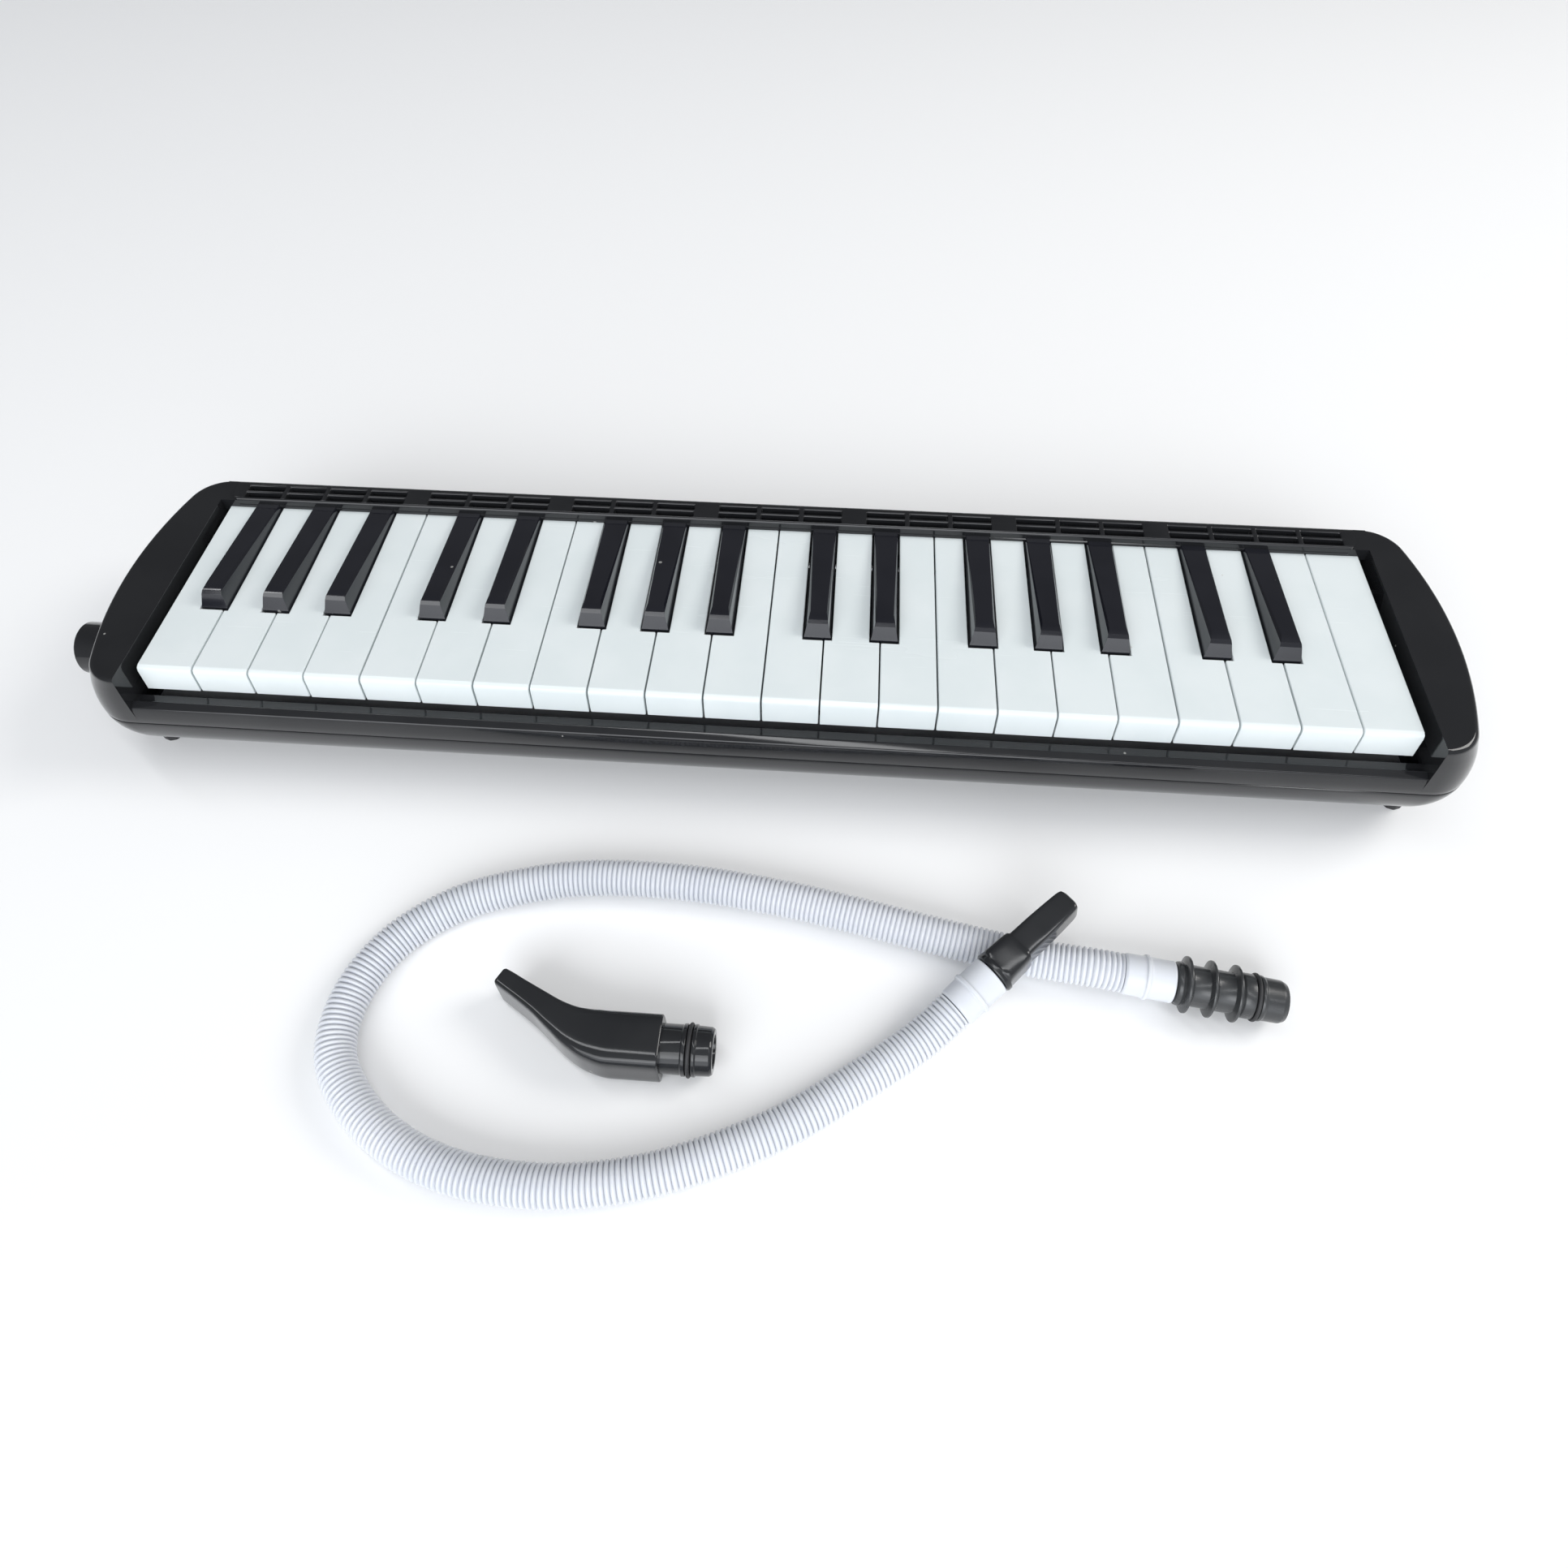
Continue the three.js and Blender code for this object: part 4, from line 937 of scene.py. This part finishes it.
def makeUpperCase():
    # outer skin with a rounded shoulder, minus the hollow and the key well, plus the front moulding, the
    # cheeks and the rail
    s = case
    bottom = s["split"] + s["seam"]
    levels = [(0.25, bottom), (0.06, bottom + 0.12), (0.0, bottom + 0.35), (0.02, 26), (0.05, 28),
              (0.15, 30.5), (0.3, 33), (0.5, 36), (0.8, 39), (1.0, 41)]
    shoulder = arc((2.5, 42.6), 1.4, 180, 90, 8)
    levels += [(inset, z) for inset, z in shoulder] + [(2.9, s["top"])]
    piece = skinRings("upper_case_moulded", [caseRing(inset, z) for inset, z in levels])
    innerLevels = [(0.0, s["split"] - 2), (0.05, 28), (0.3, 33), (0.8, 38), (1.4, s["top"] - s["wall"])]
    tools = [skinRings("hollow", [caseRing(inset + s["wall"], z) for inset, z in innerLevels])]
    well = s["wellHalf"]
    tools.append(block("well", -well, well, s["wellFront"], s["railFront"], s["split"] - 2, 60))
    combine(piece, tools, "DIFFERENCE")
    front = s["front"]
    moulding = [(front + 0.25, bottom), (front + 0.06, bottom + 0.12), (front, bottom + 0.35),
                (front + 0.05, 27), (front + 0.35, 29.6)]
    moulding += arc((-7.1, 30.2), 0.85, 160, 110, 6).tolist()
    moulding += arc((-5.35, 31.1), 0.6, 110, 5, 8).tolist()
    moulding += [(-4.6, 30.85), (-4.3, 30.75), (-1.9, 30.75), (-1.6, 30.55), (-1.6, 24.3), (11.5, 24.3),
                 (11.5, 22.3), (-3.8, 22.3), (-3.8, 28.6), (-6.3, 28.6), (-6.3, bottom)]
    parts = [extruded("moulding", moulding, 0, -well - 1, well + 1)]
    bulge = [(-6.3, bottom), (front + 0.12, bottom), (front + 0.12, 27), (front + 0.5, 34),
             (front + 0.95, 39), (-6.7, s["top"] - 1), (-5, s["top"] - 1)]
    for side in (-1, 1):
        a, b = sorted((side * well, side * (well + s["cheekDepth"])))
        parts.append(block("cheekWall", a, b, -6, 87, bottom, s["top"] - 1))
        parts.append(extruded("cheekFront", bulge, 0, a, b))
    parts += makeRail()
    combine(piece, parts, "UNION")
    y, z = s["socket"]
    cuts = [barX("socketHole", -s["half"] - 5, -s["half"] + 9, y, z, s["socketHole"], 64),
            block("sleeveGap", -well - 3, -well + 1, y - 7, y + 8, s["split"] - 3, 33),
            barX("rodEnds", -well - 3, well + 3, *s["rod"], s["rodHole"], 24)]
    combine(piece, cuts + slotTools(), "DIFFERENCE")
    finishMesh(piece, 30)
    return place(piece, "case", "upper_case", materials["case_black"])


makeLowerCase()
print("lower case made")
makeUpperCase()
print("upper case made")


# ---------- keys

keySettings = {
    "whiteEdge": 0.4,
    "blackEdge": 0.35,
    "segments": 3,
    "blackFoot": 41.0,
    "rearShare": 0.26,
    "rearFrom": 70.0,
}


def slopeTop(points):
    # at the rear the height above the foot line is multiplied by the share, and the width follows the sides:
    # distance from the middle = foot half width - (foot half width - ridge half width) * share
    s = keySettings
    p = (points - shift) / mm
    middle = (p[:, 0].min() + p[:, 0].max()) / 2
    rear = (p[:, 1] > s["rearFrom"]) & (p[:, 2] > s["blackFoot"] + 0.5)
    footHalf = (p[:, 0].max() - p[:, 0].min()) / 2
    out = np.abs(p[rear, 0] - middle)
    p[rear, 0] = middle + np.sign(p[rear, 0] - middle) * (footHalf - (footHalf - out) * s["rearShare"])
    p[rear, 2] = s["blackFoot"] + (p[rear, 2] - s["blackFoot"]) * s["rearShare"]
    return p * mm + shift


for name in keyNames:
    white = name.startswith("white")
    piece = cadCopy(name, name + "_moulded", keySettings["whiteEdge" if white else "blackEdge"],
                    keySettings["segments"], reshape=None if white else slopeTop)
    slot = "key_white" if white else "key_black"
    place(piece, name, name, materials[slot])
print("keys made")


# ---------- fittings on the case

fittingSettings = {
    # distance along the piece, radius
    "socket": [(0.4, 7.0), (0, 7.5), (0, 8.1), (0.6, 8.7), (17.0, 8.7), (17.0, 9.9), (18.4, 9.9), (18.4, 4.6),
               (20.0, 4.6), (20.0, 3.0), (16.0, 3.0), (16.0, 6.8), (0.9, 6.8)],
    "buttonStart": 199.8,
    "button": [(0, 0.01), (0, 4.2), (1.6, 4.2), (1.6, 1.8), (4.0, 1.8), (4.0, 5.6), (5.4, 5.6), (5.4, 4.5),
               (19.0, 4.5), (19.7, 4.2), (20.15, 3.2), (20.2, 0.01)],
    "footEdge": 0.3,
}


def makeFittings(s):
    y, z = case["socket"]
    socket = turnedPiece("blow_socket_turned", softCorners(s["socket"], 0.2, 2, closed=True),
                         (-case["socketTip"], y, z), (1, 0, 0), 72, closed=True)
    place(socket, "case", "blow_socket", materials["case_black"])
    button = turnedPiece("release_button_turned", softCorners(s["button"], 0.3),
                         (s["buttonStart"], *case["button"]), (1, 0, 0))
    place(button, "release_button", "release_button", materials["case_black"])
    for end in ("front", "rear"):
        for side in ("left", "right"):
            node = f"foot_{end}_{side}"
            foot = cadCopy(node, node + "_rounded", s["footEdge"])
            place(foot, "case", node, materials["rubber"])


makeFittings(fittingSettings)

screwSettings = {
    # distance up from the head's underside, radius
    "profile": [(0, 0.01), (0, 1.9), (0.12, 2.4), (0.4, 2.9), (0.6, 2.9), (0.6, 0.01)],
    "head": 4.75,
    "slotWidth": 0.9,
    "slotLength": 3.2,
    "slotStart": 0.2,
    "slotDepth": 0.4,
}


def makeScrews(s):
    # pan head: a turned dome facing down, with a cross cut into it
    long, wide = s["slotLength"] / 2, s["slotWidth"] / 2
    low, high = s["head"] - s["slotStart"], s["head"] + s["slotDepth"]
    for i, x in enumerate((-case["screwX"], case["screwX"])):
        for j, y in enumerate(case["screwRows"]):
            head = turnedPiece(f"case_screw_{2 * i + j + 1}", s["profile"], (x, y, s["head"]), (0, 0, 1), 40)
            combine(head, [block("cut", x - long, x + long, y - wide, y + wide, low, high),
                           block("cut", x - wide, x + wide, y - long, y + long, low, high)], "DIFFERENCE")
            finishMesh(head, 30)
            place(head, "case", None, materials["spring_steel"])


makeScrews(screwSettings)

carried = {
    "wind_chest": "inner_plastic", "chest_cover": "inner_plastic", "reed_plate": "reed_brass",
    "key_rod": "spring_steel", "key_spring_comb": "spring_steel", "key_stop_felt": "felt",
    "inlet_sleeve": "rubber",
}
for node, slot in carried.items():
    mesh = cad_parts[node].data
    mesh.materials.clear()
    mesh.materials.append(materials[slot])
print("fittings and inner parts made")


# ---------- floor and light

stageSettings = {
    "floorHalf": 3.0,
    "floorColor": (0.95, 0.95, 0.95),
    "skyDark": (0.15, 0.153, 0.16),
    "skyBright": (0.44, 0.45, 0.465),
    "skyToward": (0.5, -0.8, 0.25),
    "skyFrom": (-0.35, 0.6),
    "window": (2.3, 2.38, 2.5),
    "windowToward": (-0.05, -0.97, 0.22),
    "windowFrom": (0.78, 0.96),
    "lights": [
        # name, place, size x, size y, power, colour
        ("right", (1.15, 0.3, 1.0), 0.6, 0.6, 8.0, (1.0, 0.98, 0.95)),
        ("front", (-0.3, -1.25, 0.95), 1.6, 0.8, 12.0, (0.96, 0.98, 1.0)),
        ("overhead", (-0.05, -0.07, 1.4), 2.6, 0.12, 6.0, (0.97, 0.985, 1.0)),
    ],
}


def makeStage(s):
    h = s["floorHalf"]
    mesh = bpy.data.meshes.new("floor")
    mesh.from_pydata([(-h, -h, 0), (h, -h, 0), (h, h, 0), (-h, h, 0)], [], [(0, 1, 2, 3)])
    floor = bpy.data.objects.new("floor", mesh)
    bpy.context.scene.collection.objects.link(floor)
    paint = bpy.data.materials.new("floor")
    paint.use_nodes = True
    shader = paint.node_tree.nodes["Principled BSDF"]
    shader.inputs["Base Color"].default_value = (*s["floorColor"], 1)
    shader.inputs["Roughness"].default_value = 0.9
    mesh.materials.append(paint)
    # sky = dark to bright, then to a soft window low in front; each step reads the dot product of the
    # direction and an aim
    world = bpy.data.worlds.new("studio")
    world.use_nodes = True
    tree = world.node_tree
    direction = tree.nodes.new("ShaderNodeTexCoord").outputs["Generated"]

    def toward(aim, span):
        node = tree.nodes.new("ShaderNodeVectorMath")
        node.operation = "DOT_PRODUCT"
        node.inputs[1].default_value = Vector(aim).normalized()
        tree.links.new(direction, node.inputs[0])
        return ramp(tree, node.outputs["Value"], *span)

    sky = blend(tree, toward(s["skyToward"], s["skyFrom"]), s["skyDark"], s["skyBright"])
    sky = blend(tree, toward(s["windowToward"], s["windowFrom"]), sky, s["window"])
    tree.links.new(sky, tree.nodes["Background"].inputs["Color"])
    bpy.context.scene.world = world
    for name, at, sizeX, sizeY, power, color in s["lights"]:
        data = bpy.data.lights.new(name, "AREA")
        data.shape = "RECTANGLE"
        data.size, data.size_y, data.energy, data.color = sizeX, sizeY, power, color
        lamp = bpy.data.objects.new(name, data)
        bpy.context.scene.collection.objects.link(lamp)
        lamp.location = at
        lamp.rotation_euler = (-Vector(at)).to_track_quat("-Z", "Y").to_euler()


makeStage(stageSettings)
bpy.context.scene.view_settings.view_transform = "Standard"
print("stage set")
